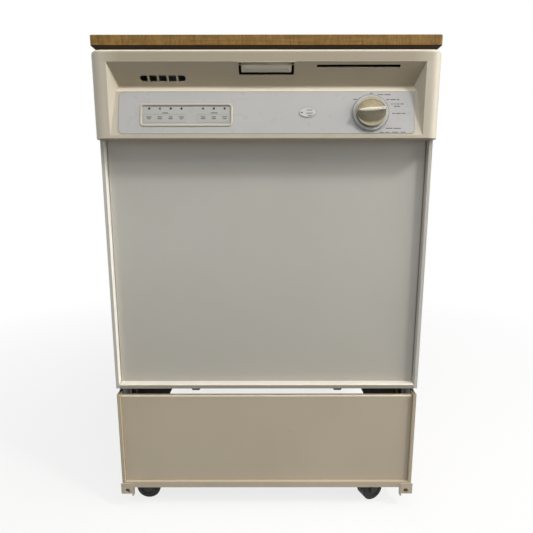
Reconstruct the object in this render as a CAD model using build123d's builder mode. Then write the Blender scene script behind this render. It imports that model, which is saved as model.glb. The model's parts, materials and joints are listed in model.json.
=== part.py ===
"""A portable dishwasher on casters, as an assembly of separate pieces.

X runs to the right as seen from the front, Y to the back and Z up, in millimetres. The origin is on
the floor, under the middle of the machine.
"""

import math
import os

from build123d import *

# Cabinet
CABINET_WIDTH = 606.0
CABINET_DEPTH = 610.0
TOTAL_HEIGHT = 932.0
SHEET = 1.5
HEM_WIDTH = 6.0
HEM_DEPTH = 18.0
TOP_FLANGE = 28.0
REAR_FLANGE = 20.0

# Worktop
WORKTOP_SIDE_OVERHANG = 3.0
WORKTOP_FRONT_OVERHANG = 10.0
WORKTOP_REAR_OVERHANG = 12.0
WORKTOP_EDGE = 17.0
WORKTOP_BEVEL_DROP = 8.3
WORKTOP_BEVEL_INSET = 11.0
WORKTOP_CORNER = 4.0
WORKTOP_EASE = 1.5

# Casters
WHEEL_DIAMETER = 51.0
WHEEL_WIDTH = 26.0
WHEEL_HUB_DIAMETER = 30.0
AXLE_DIAMETER = 8.0
RUNNING_FIT = 0.05
FORK_GAP = 1.0
FORK_SHEET = 2.5
CASTER_TRAIL = 17.0
CASTER_CROWN = 15.0
CASTER_PLATE = 2.0
CASTER_INSET = 60.0
FRONT_CASTER_SETBACK = 49.0
REAR_CASTER_SETBACK = 56.0
LEFT_CASTER_TURN = 180.0
RIGHT_CASTER_TURN = 205.0

# Base
RAIL_CLEARANCE = 2.0
BASE_HEIGHT = 210.0
RAIL_HEIGHT = 13.0
RAIL_DEPTH = 10.0
LOWER_PANEL_SETBACK = 6.0
LOWER_PANEL_FLANGE = 8.0
LOWER_PANEL_DROP = 6.0
LOWER_PANEL_EDGE = 3.0
SHELF_WIDTH = 92.0
SHELF_LENGTH = 90.0
FOOT_BRACKET_WIDTH = 22.5
FOOT_BRACKET_DROP = 14.0
FOOT_BRACKET_DEPTH = 14.0
FOOT_BRACKET_LAP = 1.2
FOOT_LAP_HEIGHT = 9.5
FOOT_FLANGE = 3.0
FOOT_FLANGE_DROP = 5.0
FOOT_HOLE_INSET = 13.5
FOOT_HOLE_DIAMETER = 10.0

# Door
DOOR_GAP = 12.0
DOOR_SIDE_GAP = 1.5
PANEL_SETBACK = 13.0
PANEL_RETURN = 18.0
TRIM_HEIGHT = 10.0
TRIM_REACH = 15.0
TRIM_LEAN = 2.0
HINGE_SETBACK = 12.0
HINGE_RISE = 24.0
HINGE_PIN_DIAMETER = 8.0
ARM_HEIGHT = 150.0
LINER_DEPTH = 29.0
LINER_WALL = 3.0
LINER_RIM = 6.0
LINER_RISE = 0.5
SEAL_GAP = 4.0
SEAL_SQUEEZE = 0.3

SPRING_DEPTH = 70.0
SPRING_LENGTH = 150.0
SPRING_DIAMETER = 10.0

# Console
CONSOLE_HEIGHT = 146.2
CONSOLE_TOP_GAP = 3.5
CONSOLE_REACH = 27.0
CONSOLE_CORNER = 21.0
CONSOLE_EASE = 6.0
CONSOLE_WALL = 3.5
WING_GAP = 1.0
WING_OVERHANG = 1.5
LIP_HEIGHT = 20.2
SCOOP_HALF_WIDTH = 274.0
SCOOP_SIDE_SLOPE = 0.44
SCOOP_DEPTH = 27.0
SCOOP_DROP = 34.0
LEDGE_DROP = 9.5
LEDGE_RUN = 9.0
FACE_DROP = 77.5
FACE_FOOT = 0.5
SCOOP_BLEND = 3.0

# Controls
INSERT_WIDTH = 521.0
INSERT_HEIGHT = 76.0
INSERT_RISE = 0.6
INSERT_CORNER = 9.0
INSERT_FIT = 0.2
INSERT_POCKET = 2.0
INSERT_THICKNESS = 2.6
KEYPAD_X = -141.0
KEYPAD_RISE = -3.8
KEYPAD_WIDTH = 163.0
KEYPAD_HEIGHT = 41.5
KEYPAD_CORNER = 7.0
BEZEL_WIDTH = 4.0
BEZEL_HEIGHT = 1.4
FILM_SINK = 0.8
INDICATOR_RISE = 12.2
INDICATOR_PITCH = 19.0
INDICATOR_START = -65.5
INDICATOR_DIAMETER = 4.0
RINSE_X = 72.0
RINSE_RISE = 0.0
RINSE_WIDTH = 29.0
RINSE_HEIGHT = 16.5
RINSE_DOME = 1.2
KNOB_X = 182.5
KNOB_RISE = -0.6
DIAL_DIAMETER = 64.5
DIAL_THICKNESS = 3.5
KNOB_DIAMETER = 53.0
KNOB_BASE = 5.0
KNOB_GRIP = 9.0
KNOB_RIDGE = 5.0
KNOB_GRIP_LENGTH = 48.0
KNOB_GRIP_WIDTH = 40.0
KNOB_TURN = 4.0
KNOB_LIFT = 0.4
SHAFT_DIAMETER = 6.0
SHAFT_REACH = 14.0
TIMER_WIDTH = 64.0
TIMER_DEPTH = 30.0
VENT_X = -182.0
VENT_COUNT = 5
VENT_PITCH = 16.8
VENT_WIDTH = 13.8
VENT_HEIGHT = 11.0
VENT_DOWN = 29.0
SLOT_X = 159.0
SLOT_LENGTH = 144.0
SLOT_HEIGHT = 5.0
SLOT_DOWN = 8.0

# Latch
PADDLE_WIDTH = 87.0
PADDLE_HEIGHT = 13.0
PADDLE_TOP_GAP = 3.5
PADDLE_THICKNESS = 3.0
PADDLE_GAP = 4.4
PADDLE_PIN_REACH = 3.8
PADDLE_DOWN = 2.0
FINGER_GAP = 5.0
LATCH_PIN_DIAMETER = 3.0
HOOK_WIDTH = 14.0
HOOK_THICKNESS = 4.0
KEEPER_WIDTH = 44.0
KEEPER_CLEARANCE = 0.8

# Tub
TUB_SIDE_GAP = 30.0
TUB_REAR_GAP = 17.0
TUB_WALL = 3.0
TUB_CORNER = 18.0
TUB_FLANGE = 13.0
TUB_DAM = 26.0
TUB_FLOOR_RISE = 17.0
TUB_TOP_GAP = 22.5
SUMP_DIAMETER = 176.0
SUMP_DEPTH = 43.0
SUMP_FLANGE = 12.0
PUMP_DIAMETER = 140.0
PUMP_HEIGHT = 42.0
OUTLET_INSET = 4.0
OUTLET_LENGTH = 80.0
MOTOR_DIAMETER = 120.0
MOTOR_HEIGHT = 68.0

# Washing pieces
ARM_REACH = 205.0
ARM_TIP = 14.0
ARM_ROOT = 25.0
ARM_THICKNESS = 12.0
ARM_RISE = 24.0
ARM_PIN_DIAMETER = 20.0
HEATER_DIAMETER = 8.0
HEATER_RISE = 16.0
HEATER_HALF_WIDTH = 170.0
HEATER_HALF_DEPTH = 190.0
FEED_DIAMETER = 18.0
FEED_WALL = 2.0
FEED_RISE = 318.0
UPPER_PIN_DIAMETER = 16.0
FLOAT_DIAMETER = 44.0
FLOAT_HEIGHT = 28.0
FLOAT_STEM = 10.0
FLOAT_X = 195.0
FLOAT_SETBACK = 46.0

# Racks
WIRE = 4.0
RACK_SIDE_GAP = 25.0
RACK_FRONT_GAP = 25.0
RACK_REAR_GAP = 40.0
LOWER_RACK_RISE = 50.0
LOWER_RACK_WALL = 125.0
UPPER_RACK_RISE = 342.0
UPPER_RACK_WALL = 95.0
UPPER_RACK_INSET = 10.0
ROLLER_DIAMETER = 40.0
ROLLER_WIDTH = 7.0
ROLLER_SETBACK = 90.0
TRACK_RISE = 374.0
TRACK_HEIGHT = 24.0
TRACK_DEPTH = 14.0
SLIDE_FIT = 0.4
RACK_COLUMNS = 9
RACK_ROWS = 8
TINE_HEIGHT = 60.0
TINE_PITCH = 62.0
BASKET_WIDTH = 80.0
BASKET_LENGTH = 280.0
BASKET_HEIGHT = 118.0
BASKET_WALL = 2.5

# Dispenser
DISPENSER_WIDTH = 150.0
DISPENSER_HEIGHT = 84.0
DISPENSER_X = -20.0
DISPENSER_RISE = 212.0
DISPENSER_FLANGE = 2.0
DISPENSER_DEPTH = 24.0
CUP_SIZE = 60.0
LID_THICKNESS = 2.5
LID_FIT = 0.3
CAP_DIAMETER = 34.0
CAP_HEIGHT = 6.0

# Rear fittings
INLET_INSET = 123.0
INLET_HEIGHT = 150.0
INLET_DIAMETER = 26.0
INLET_WALL = 4.0
VALVE_PLATE_WIDTH = 70.0
VALVE_PLATE_HEIGHT = 56.0
VALVE_PLATE_THICKNESS = 3.0
VALVE_WIDTH = 44.0
VALVE_HEIGHT = 40.0
VALVE_DEPTH = 40.0
SOLENOID_DIAMETER = 32.0
SOLENOID_HEIGHT = 30.0
DRAIN_INSET = 153.0
DRAIN_RUN = 70.0
DRAIN_SLANT = 65.0
DRAIN_BEND = 30.0
HOSE_DIAMETER = 20.0
HOSE_WALL = 2.5
PORT_REACH = 11.0
PORT_HOLE_GAP = 6.0
GLAND_INSET = 68.0
GLAND_HEIGHT = 120.0
GLAND_BORE = 10.0
GLAND_DIAMETER = 22.0
GLAND_COLLAR = 4.0
LOUVRE_RISE = 40.0
LOUVRE_PITCH = 16.0
LOUVRE_LENGTH = 110.0
LOUVRE_HEIGHT = 6.0
LOUVRE_SPACING = 150.0
SCREW_DIAMETER = 9.0
SCREW_HEAD = 3.0
SCREW_INSET = 10.0
SCREW_MARGIN = 36.0
SCREWS_A_SIDE = 4

# Heights that follow from the sizes above
BASE_BOTTOM = WHEEL_DIAMETER + RAIL_CLEARANCE
BASE_TOP = BASE_BOTTOM + BASE_HEIGHT
RAIL_TOP = BASE_BOTTOM + RAIL_HEIGHT
SHELF_BOTTOM = WHEEL_DIAMETER + CASTER_CROWN
CABINET_TOP = TOTAL_HEIGHT - WORKTOP_EDGE - WORKTOP_BEVEL_DROP
CONSOLE_TOP = CABINET_TOP - CONSOLE_TOP_GAP
CONSOLE_BOTTOM = CONSOLE_TOP - CONSOLE_HEIGHT
DOOR_BOTTOM = BASE_TOP + DOOR_GAP
PANEL_BOTTOM = DOOR_BOTTOM + TRIM_HEIGHT
HINGE_Z = DOOR_BOTTOM + HINGE_RISE
LIP_BOTTOM = CONSOLE_TOP - LIP_HEIGHT
SCOOP_BOTTOM = LIP_BOTTOM - SCOOP_DROP
FACE_TOP = SCOOP_BOTTOM - LEDGE_DROP
FACE_BOTTOM = FACE_TOP - FACE_DROP
TUB_FLOOR = BASE_TOP + TUB_FLOOR_RISE + TUB_WALL
TUB_ROOF = CABINET_TOP - TUB_TOP_GAP
TUB_SILL = TUB_FLOOR + TUB_DAM
LINER_BOTTOM = HINGE_Z + LINER_RISE
LINER_TOP = TUB_ROOF + TUB_WALL
DRAIN_HEIGHT = TUB_FLOOR - SUMP_DEPTH - PUMP_HEIGHT / 2

# Depths behind the front plane of the cabinet's side hems
HINGE_DEPTH = PANEL_SETBACK + HINGE_SETBACK
LINER_FRONT = PANEL_SETBACK + PANEL_RETURN
LINER_BACK = LINER_FRONT + LINER_DEPTH
TUB_FRONT = LINER_BACK + SEAL_GAP
TUB_BACK = CABINET_DEPTH - TUB_REAR_GAP
TUB_CENTRE = (TUB_FRONT + TUB_BACK) / 2
BACK_INSIDE = CABINET_DEPTH - SHEET
SCOOP_DEEPEST = SCOOP_DEPTH - CONSOLE_REACH
FACE_TOP_DEPTH = SCOOP_DEEPEST - LEDGE_RUN
FACE_BOTTOM_DEPTH = FACE_FOOT - CONSOLE_REACH
SIDE_INSIDE = CABINET_WIDTH / 2 - SHEET
DOOR_HALF_WIDTH = CABINET_WIDTH / 2 - HEM_WIDTH - DOOR_SIDE_GAP
LINER_HALF_WIDTH = DOOR_HALF_WIDTH - SHEET - LINER_RIM - 0.5
TUB_HALF_WIDTH = CABINET_WIDTH / 2 - TUB_SIDE_GAP - TUB_WALL
CASTER_X = CABINET_WIDTH / 2 - CASTER_INSET
INLET_X = INLET_INSET - CABINET_WIDTH / 2
DRAIN_X = CABINET_WIDTH / 2 - DRAIN_INSET
GLAND_X = CABINET_WIDTH / 2 - GLAND_INSET

SPRING_X = -LINER_HALF_WIDTH - 1.5
SPRING_BOTTOM = BASE_TOP - SPRING_LENGTH

# The tilted control face, and how far its knob stands out in front
FACE_TILT = math.atan2(FACE_TOP_DEPTH - FACE_BOTTOM_DEPTH, FACE_DROP)
FACE_MIDDLE_DEPTH = (FACE_TOP_DEPTH + FACE_BOTTOM_DEPTH) / 2
FACE_MIDDLE = (FACE_TOP + FACE_BOTTOM) / 2
INSERT_TOP = INSERT_THICKNESS - INSERT_POCKET
DIAL_BOTTOM = INSERT_TOP + KNOB_LIFT
KNOB_BOTTOM = DIAL_BOTTOM + DIAL_THICKNESS
KNOB_TOP = KNOB_BOTTOM + KNOB_BASE + KNOB_GRIP
RIDGE_REACH = math.hypot(KNOB_GRIP_LENGTH / 2 * math.sin(math.radians(KNOB_TURN)),
                         KNOB_RIDGE / 2 * math.cos(math.radians(KNOB_TURN)))
KNOB_REACH = (KNOB_TOP * math.cos(FACE_TILT) + (RIDGE_REACH - KNOB_RISE) * math.sin(FACE_TILT)
              - FACE_MIDDLE_DEPTH)
FRONT_PLANE = (KNOB_REACH - CABINET_DEPTH - WORKTOP_REAR_OVERHANG) / 2


def at(depth):
    """Y of a point this far behind the front plane of the cabinet's side hems."""
    return FRONT_PLANE + depth


def plate(x, depth, z, mode=Mode.ADD):
    """A flat plate or bar between two limits on each axis, made in the open part."""
    with Locations(((x[0] + x[1]) / 2, at((depth[0] + depth[1]) / 2), (z[0] + z[1]) / 2)):
        Box(x[1] - x[0], depth[1] - depth[0], z[1] - z[0], mode=mode)


def folded(points, side=Side.LEFT):
    """The section of a folded sheet, from the line of its outer surface."""
    with BuildSketch() as section:
        with BuildLine():
            Polyline(*points)
            offset(amount=SHEET, side=side)
        make_face()
    return section.sketch


def across(x=0.0):
    """The plane through x that shows depth to the right and height upwards."""
    return Plane(origin=(x, FRONT_PLANE, 0), x_dir=(0, 1, 0), z_dir=(1, 0, 0))


def upright(depth):
    """The plane at a depth that shows X to the right and height upwards, facing the front."""
    return Plane(origin=(0, at(depth), 0), x_dir=(1, 0, 0), z_dir=(0, -1, 0))


def level(height):
    """The plane at a height, with its origin in the middle of the front plane."""
    return Plane(origin=(0, FRONT_PLANE, height))


def mirrored(piece):
    """The same piece on the other side of the machine."""
    with BuildPart() as other:
        add(piece)
        mirror(about=Plane.YZ, mode=Mode.REPLACE)
    return other.part


def group(*solids):
    """Separate solids that make one piece."""
    return Compound(children=list(solids))


APERTURE_HEIGHT = PADDLE_TOP_GAP + PADDLE_HEIGHT + FINGER_GAP
FACE = Plane(origin=(0, at(FACE_MIDDLE_DEPTH), FACE_MIDDLE), x_dir=(1, 0, 0),
             z_dir=(0, -math.cos(FACE_TILT), math.sin(FACE_TILT)))
SCOOP_TILT = math.atan2(SCOOP_DEPTH, SCOOP_DROP)
SCOOP = Plane(origin=(0, at(-CONSOLE_REACH), LIP_BOTTOM), x_dir=(1, 0, 0),
              z_dir=(0, -math.cos(SCOOP_TILT), -math.sin(SCOOP_TILT)))


# Worktop with a bevelled underside
WORKTOP_WIDTH = CABINET_WIDTH + 2 * WORKTOP_SIDE_OVERHANG
WORKTOP_DEPTH = CABINET_DEPTH + WORKTOP_FRONT_OVERHANG + WORKTOP_REAR_OVERHANG
WORKTOP_MIDDLE = (CABINET_DEPTH + WORKTOP_REAR_OVERHANG - WORKTOP_FRONT_OVERHANG) / 2
with BuildPart() as worktop:
    with BuildSketch(level(CABINET_TOP)):
        with Locations((0, WORKTOP_MIDDLE)):
            RectangleRounded(WORKTOP_WIDTH - 2 * WORKTOP_BEVEL_INSET,
                             WORKTOP_DEPTH - 2 * WORKTOP_BEVEL_INSET, WORKTOP_CORNER / 2)
    with BuildSketch(level(CABINET_TOP + WORKTOP_BEVEL_DROP)):
        with Locations((0, WORKTOP_MIDDLE)):
            RectangleRounded(WORKTOP_WIDTH, WORKTOP_DEPTH, WORKTOP_CORNER)
    loft(ruled=True)
    extrude(worktop.faces().sort_by(Axis.Z)[-1], amount=WORKTOP_EDGE)
    fillet(worktop.edges().group_by(Axis.Z)[-1], radius=WORKTOP_EASE)

# Cabinet side: one folded sheet with a front hem, a rear flange and a top flange
with BuildPart() as side_left:
    with BuildSketch(level(BASE_TOP)):
        add(folded([(REAR_FLANGE - CABINET_WIDTH / 2, BACK_INSIDE), (-CABINET_WIDTH / 2, BACK_INSIDE),
                    (-CABINET_WIDTH / 2, 0), (HEM_WIDTH - CABINET_WIDTH / 2, 0),
                    (HEM_WIDTH - CABINET_WIDTH / 2, HEM_DEPTH)]))
    extrude(amount=CABINET_TOP - BASE_TOP)
    plate((-CABINET_WIDTH / 2, TOP_FLANGE - CABINET_WIDTH / 2), (HEM_DEPTH, BACK_INSIDE),
          (CABINET_TOP - SHEET, CABINET_TOP))
    plate((-CABINET_WIDTH / 2, HEM_WIDTH - CABINET_WIDTH / 2), (0, HEM_DEPTH), (BASE_TOP, DOOR_BOTTOM),
          mode=Mode.SUBTRACT)
side_right = mirrored(side_left.part)

# Back panel with its louvres, hose holes and cord hole
with BuildPart() as cabinet_back:
    with BuildSketch(upright(CABINET_DEPTH)):
        with Locations((0, (BASE_BOTTOM + CABINET_TOP) / 2)):
            Rectangle(CABINET_WIDTH, CABINET_TOP - BASE_BOTTOM)
        with Locations((INLET_X, INLET_HEIGHT)):
            Circle(INLET_DIAMETER / 2 + PORT_HOLE_GAP, mode=Mode.SUBTRACT)
        with Locations((DRAIN_X, DRAIN_HEIGHT)):
            Circle(HOSE_DIAMETER / 2 + PORT_HOLE_GAP, mode=Mode.SUBTRACT)
        with Locations((GLAND_X, GLAND_HEIGHT)):
            Circle(GLAND_DIAMETER / 2, mode=Mode.SUBTRACT)
        with Locations((0, BASE_TOP + LOUVRE_RISE)):
            with GridLocations(LOUVRE_SPACING, LOUVRE_PITCH, 2, 4):
                SlotOverall(LOUVRE_LENGTH, LOUVRE_HEIGHT, mode=Mode.SUBTRACT)
    extrude(amount=SHEET)

# Base side: a folded sheet with a front post, a rear flange and the shelves the casters hang from
with BuildPart() as base_left:
    with BuildSketch(level(BASE_BOTTOM)):
        add(folded([(REAR_FLANGE - CABINET_WIDTH / 2, BACK_INSIDE), (-CABINET_WIDTH / 2, BACK_INSIDE),
                    (-CABINET_WIDTH / 2, 0), (HEM_WIDTH - CABINET_WIDTH / 2, 0),
                    (HEM_WIDTH - CABINET_WIDTH / 2, HEM_DEPTH)]))
    extrude(amount=BASE_HEIGHT)
    plate((-CABINET_WIDTH / 2, SHELF_WIDTH - CABINET_WIDTH / 2), (0, RAIL_DEPTH), (BASE_BOTTOM, RAIL_TOP),
          mode=Mode.SUBTRACT)
    for start in (LOWER_PANEL_SETBACK + SHEET, BACK_INSIDE - SHEET - SHELF_LENGTH):
        plate((-SIDE_INSIDE, SHELF_WIDTH - CABINET_WIDTH / 2), (start, start + SHELF_LENGTH),
              (SHELF_BOTTOM, SHELF_BOTTOM + SHEET))
    plate((-CABINET_WIDTH / 2, HEM_WIDTH - CABINET_WIDTH / 2), (0, HEM_DEPTH - 4), (BASE_TOP - 1.0, BASE_TOP),
          mode=Mode.SUBTRACT)
    plate((-SIDE_INSIDE, SPRING_X + 4), (SPRING_DEPTH - 5, SPRING_DEPTH + 5),
          (SPRING_BOTTOM - 6, SPRING_BOTTOM))
base_right = mirrored(base_left.part)

# Front and rear base rails, folded channels across the whole width
with BuildPart() as base_front_rail:
    with BuildSketch(across(-CABINET_WIDTH / 2)):
        add(folded([(RAIL_DEPTH / 2, BASE_BOTTOM), (0, BASE_BOTTOM), (0, RAIL_TOP), (RAIL_DEPTH, RAIL_TOP)],
                   Side.RIGHT))
    extrude(amount=CABINET_WIDTH)
with BuildPart() as base_rear_rail:
    with BuildSketch(across(CASTER_INSET + SHELF_WIDTH / 2 - CABINET_WIDTH / 2)):
        add(folded([(BACK_INSIDE - 40, SHELF_BOTTOM), (BACK_INSIDE, SHELF_BOTTOM),
                    (BACK_INSIDE, SHELF_BOTTOM + 40)]))
    extrude(amount=CABINET_WIDTH - 2 * CASTER_INSET - SHELF_WIDTH)

# Lower access panel, a tray that stands on the front rail between the posts
LOWER_HALF_WIDTH = CABINET_WIDTH / 2 - HEM_WIDTH - 0.5
LOWER_PANEL_TOP = BASE_TOP - LOWER_PANEL_DROP
with BuildPart() as lower_panel:
    with BuildSketch(across(-LOWER_HALF_WIDTH)):
        add(folded([(LOWER_PANEL_SETBACK + LOWER_PANEL_FLANGE, LOWER_PANEL_TOP),
                    (LOWER_PANEL_SETBACK, LOWER_PANEL_TOP),
                    (LOWER_PANEL_SETBACK, RAIL_TOP), (LOWER_PANEL_SETBACK + SHEET, RAIL_TOP)]))
    extrude(amount=2 * LOWER_HALF_WIDTH)
    for place, radius in ((0, 1.0), (-1, LOWER_PANEL_EDGE)):
        front_edges = lower_panel.edges().filter_by(Axis.X).group_by(Axis.Y)[0]
        fillet(front_edges.sort_by(Axis.Z)[place], radius=radius)

# Corner bracket under each end of the front rail: a lap on the rail, a block with a hole to the front
# and a deeper flange on its inner side
with BuildPart() as foot_bracket_left:
    with BuildSketch(upright(-FOOT_BRACKET_LAP)):
        with Locations((FOOT_BRACKET_WIDTH / 2 - WORKTOP_WIDTH / 2, BASE_BOTTOM - FOOT_BRACKET_DROP / 2)):
            RectangleRounded(FOOT_BRACKET_WIDTH, FOOT_BRACKET_DROP, 2.0)
        with Locations((FOOT_HOLE_INSET - WORKTOP_WIDTH / 2, BASE_BOTTOM - FOOT_BRACKET_DROP / 2)):
            Circle(FOOT_HOLE_DIAMETER / 2, mode=Mode.SUBTRACT)
    extrude(amount=-FOOT_BRACKET_DEPTH - FOOT_BRACKET_LAP)
    plate((-WORKTOP_WIDTH / 2, FOOT_BRACKET_WIDTH - WORKTOP_WIDTH / 2 + FOOT_FLANGE),
          (-FOOT_BRACKET_LAP, 0), (BASE_BOTTOM, BASE_BOTTOM + FOOT_LAP_HEIGHT))
    plate((FOOT_BRACKET_WIDTH - WORKTOP_WIDTH / 2, FOOT_BRACKET_WIDTH - WORKTOP_WIDTH / 2 + FOOT_FLANGE),
          (-FOOT_BRACKET_LAP, FOOT_BRACKET_DEPTH / 2),
          (BASE_BOTTOM - FOOT_BRACKET_DROP - FOOT_FLANGE_DROP, BASE_BOTTOM))
foot_bracket_right = mirrored(foot_bracket_left.part)


def caster_plate(x, depth):
    """The fixed plate of a swivel caster, with its pin."""
    with BuildPart() as piece:
        plate((x - 27, x + 27), (depth - 27, depth + 27), (SHELF_BOTTOM - CASTER_PLATE, SHELF_BOTTOM))
        with Locations((x, at(depth), SHELF_BOTTOM - CASTER_PLATE - CASTER_CROWN / 2 + 1)):
            Cylinder(AXLE_DIAMETER / 2, CASTER_CROWN - 2)
    return piece.part


def caster_fork(x, depth, trail, pin_hole):
    """A caster's fork over a wheel that trails to the right of x, with its axle."""
    crown_bottom = WHEEL_DIAMETER + 3.0
    crown_top = SHELF_BOTTOM - CASTER_PLATE - (0.3 if pin_hole else 0.0)
    cheek = WHEEL_WIDTH / 2 + FORK_GAP
    with BuildPart() as piece:
        with BuildSketch(Plane(origin=(x, at(depth), crown_bottom))):
            with BuildSketch(mode=Mode.PRIVATE) as outline:
                Circle(19.0)
                with Locations((trail, 0)):
                    Rectangle(18, 2 * (cheek + FORK_SHEET))
                make_hull()
            add(outline.sketch)
            if pin_hole:
                Circle(AXLE_DIAMETER / 2 + RUNNING_FIT, mode=Mode.SUBTRACT)
        extrude(amount=crown_top - crown_bottom)
        for sign in (-1, 1):
            with BuildSketch(Plane(origin=(x + trail, at(depth) + sign * cheek, 0), x_dir=(1, 0, 0),
                                   z_dir=(0, -1, 0))):
                with BuildLine():
                    Polyline((-9, crown_bottom + 1), (9, crown_bottom + 1), (9, WHEEL_DIAMETER / 2 - 6),
                             (-9, WHEEL_DIAMETER / 2 - 6), close=True)
                make_face()
                fillet(vertices().group_by(Axis.Y)[0], radius=5.0)
            extrude(amount=-sign * FORK_SHEET)
        with Locations(Location((x + trail, at(depth), WHEEL_DIAMETER / 2), (90, 0, 0))):
            Cylinder(AXLE_DIAMETER / 2, 2 * (cheek + FORK_SHEET))
    return piece.part


def caster_wheel(x, depth):
    """A caster's tyre and hub in one piece, with its axle bore across the machine's depth."""
    with BuildPart() as piece:
        with BuildSketch(Plane(origin=(x, at(depth), WHEEL_DIAMETER / 2), x_dir=(0, 1, 0), z_dir=(1, 0, 0))):
            with BuildLine():
                Polyline((-WHEEL_WIDTH / 2, AXLE_DIAMETER / 2 + RUNNING_FIT),
                         (WHEEL_WIDTH / 2, AXLE_DIAMETER / 2 + RUNNING_FIT),
                         (WHEEL_WIDTH / 2, 8), (WHEEL_WIDTH / 2 - 2.5, 10),
                         (WHEEL_WIDTH / 2 - 2.5, WHEEL_HUB_DIAMETER / 2),
                         (WHEEL_WIDTH / 2, WHEEL_HUB_DIAMETER / 2 + 2.5),
                         (WHEEL_WIDTH / 2, WHEEL_DIAMETER / 2 - 2), (WHEEL_WIDTH / 2 - 2, WHEEL_DIAMETER / 2),
                         (2 - WHEEL_WIDTH / 2, WHEEL_DIAMETER / 2),
                         (-WHEEL_WIDTH / 2, WHEEL_DIAMETER / 2 - 2),
                         (-WHEEL_WIDTH / 2, WHEEL_HUB_DIAMETER / 2 + 2.5),
                         (2.5 - WHEEL_WIDTH / 2, WHEEL_HUB_DIAMETER / 2), (2.5 - WHEEL_WIDTH / 2, 10),
                         (-WHEEL_WIDTH / 2, 8), close=True)
            make_face()
        revolve(axis=Axis((x, at(depth), WHEEL_DIAMETER / 2), (0, 1, 0)))
    return piece.part


def turned(piece, x, depth, angle):
    """A piece turned about a caster's swivel axis."""
    with BuildPart() as result:
        with Locations(Location((x, at(depth), 0), (0, 0, angle))):
            add(piece.moved(Location((-x, -at(depth), 0))))
    return result.part


# Swivel casters in front, as they stand, and rigid casters behind
caster_mounts = [caster_plate(side * CASTER_X, FRONT_CASTER_SETBACK) for side in (-1, 1)]
front_forks = []
front_wheels = []
for side, turn in ((-1, LEFT_CASTER_TURN), (1, RIGHT_CASTER_TURN)):
    fork = caster_fork(side * CASTER_X, FRONT_CASTER_SETBACK, CASTER_TRAIL, True)
    wheel = caster_wheel(side * CASTER_X + CASTER_TRAIL, FRONT_CASTER_SETBACK)
    front_forks.append(turned(fork, side * CASTER_X, FRONT_CASTER_SETBACK, turn))
    front_wheels.append(turned(wheel, side * CASTER_X, FRONT_CASTER_SETBACK, turn))
rear_wheels = []
for side in (-1, 1):
    rear_depth = CABINET_DEPTH - REAR_CASTER_SETBACK
    fork = caster_fork(side * CASTER_X, rear_depth, 0.0, False)
    wheel = caster_wheel(side * CASTER_X, rear_depth)
    with BuildPart() as rear_fork:
        add(turned(fork, side * CASTER_X, rear_depth, 90))
        plate((side * CASTER_X - 27, side * CASTER_X + 27), (rear_depth - 27, rear_depth + 27),
              (SHELF_BOTTOM - CASTER_PLATE, SHELF_BOTTOM))
    caster_mounts.append(rear_fork.part)
    rear_wheels.append(turned(wheel, side * CASTER_X, rear_depth, 90))

# Hinge bracket on each base side, with the pin the door turns on
with BuildPart() as hinge_bracket_left:
    with BuildSketch(across(-SIDE_INSIDE)):
        with BuildLine():
            Polyline((HEM_DEPTH + 1, BASE_TOP - 70), (HEM_DEPTH + 50, BASE_TOP - 70),
                     (HEM_DEPTH + 50, BASE_TOP - 5), (HEM_DEPTH + 1, BASE_TOP - 5), close=True)
        make_face()
    extrude(amount=SIDE_INSIDE - DOOR_HALF_WIDTH - 1.0)
    with BuildSketch(across(-DOOR_HALF_WIDTH - 4.0)):
        with BuildLine():
            Polyline((HEM_DEPTH + 1, BASE_TOP - 10), (HEM_DEPTH + 50, BASE_TOP - 10),
                     (HINGE_DEPTH + 14, HINGE_Z + 8), (HEM_DEPTH + 1, HINGE_Z + 8), close=True)
        make_face()
    extrude(amount=3.0)
    with BuildSketch(across(-DOOR_HALF_WIDTH - 1.5)):
        with Locations((HINGE_DEPTH, HINGE_Z)):
            Circle(HINGE_PIN_DIAMETER / 2)
    extrude(amount=DOOR_HALF_WIDTH + 1.5 - LINER_HALF_WIDTH + 1.0)
hinge_bracket_right = mirrored(hinge_bracket_left.part)

# Tub: a blown shell, open to the front, with a flange round its mouth
with BuildPart() as tub:
    with BuildSketch(upright(TUB_FRONT)):
        with Locations((0, (TUB_FLOOR + TUB_ROOF) / 2)):
            RectangleRounded(2 * TUB_HALF_WIDTH + 2 * TUB_WALL,
                             TUB_ROOF - TUB_FLOOR + 2 * TUB_WALL, TUB_CORNER)
    extrude(amount=TUB_FRONT - TUB_BACK)
    fillet(tub.edges().group_by(Axis.Y)[-1], radius=TUB_CORNER - 2)
    offset(amount=-TUB_WALL, openings=tub.faces().sort_by(Axis.Y)[0])
    with BuildSketch(upright(TUB_FRONT)):
        with Locations((0, (TUB_FLOOR + TUB_ROOF) / 2)):
            RectangleRounded(2 * (TUB_HALF_WIDTH + TUB_FLANGE),
                             TUB_ROOF - TUB_FLOOR + 2 * TUB_WALL + 8, TUB_CORNER)
        with Locations((0, (TUB_SILL + TUB_ROOF) / 2)):
            RectangleRounded(2 * TUB_HALF_WIDTH, TUB_ROOF - TUB_SILL,
                             TUB_CORNER - TUB_WALL, mode=Mode.SUBTRACT)
    extrude(amount=-TUB_WALL)
    with Locations((0, at(TUB_CENTRE), TUB_FLOOR - TUB_WALL / 2)):
        Cylinder(SUMP_DIAMETER / 2 + 1.0, 4 * TUB_WALL, mode=Mode.SUBTRACT)
    for side in (-1, 1):
        with Locations((side * 20, at(TUB_CENTRE + HEATER_HALF_DEPTH), TUB_FLOOR - TUB_WALL / 2)):
            Cylinder(HEATER_DIAMETER / 2 + 0.3, 4 * TUB_WALL, mode=Mode.SUBTRACT)
    with Locations((FLOAT_X, at(TUB_FRONT + FLOAT_SETBACK), TUB_FLOOR - TUB_WALL / 2)):
        Cylinder(FLOAT_STEM / 2 + RUNNING_FIT, 4 * TUB_WALL, mode=Mode.SUBTRACT)

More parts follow.
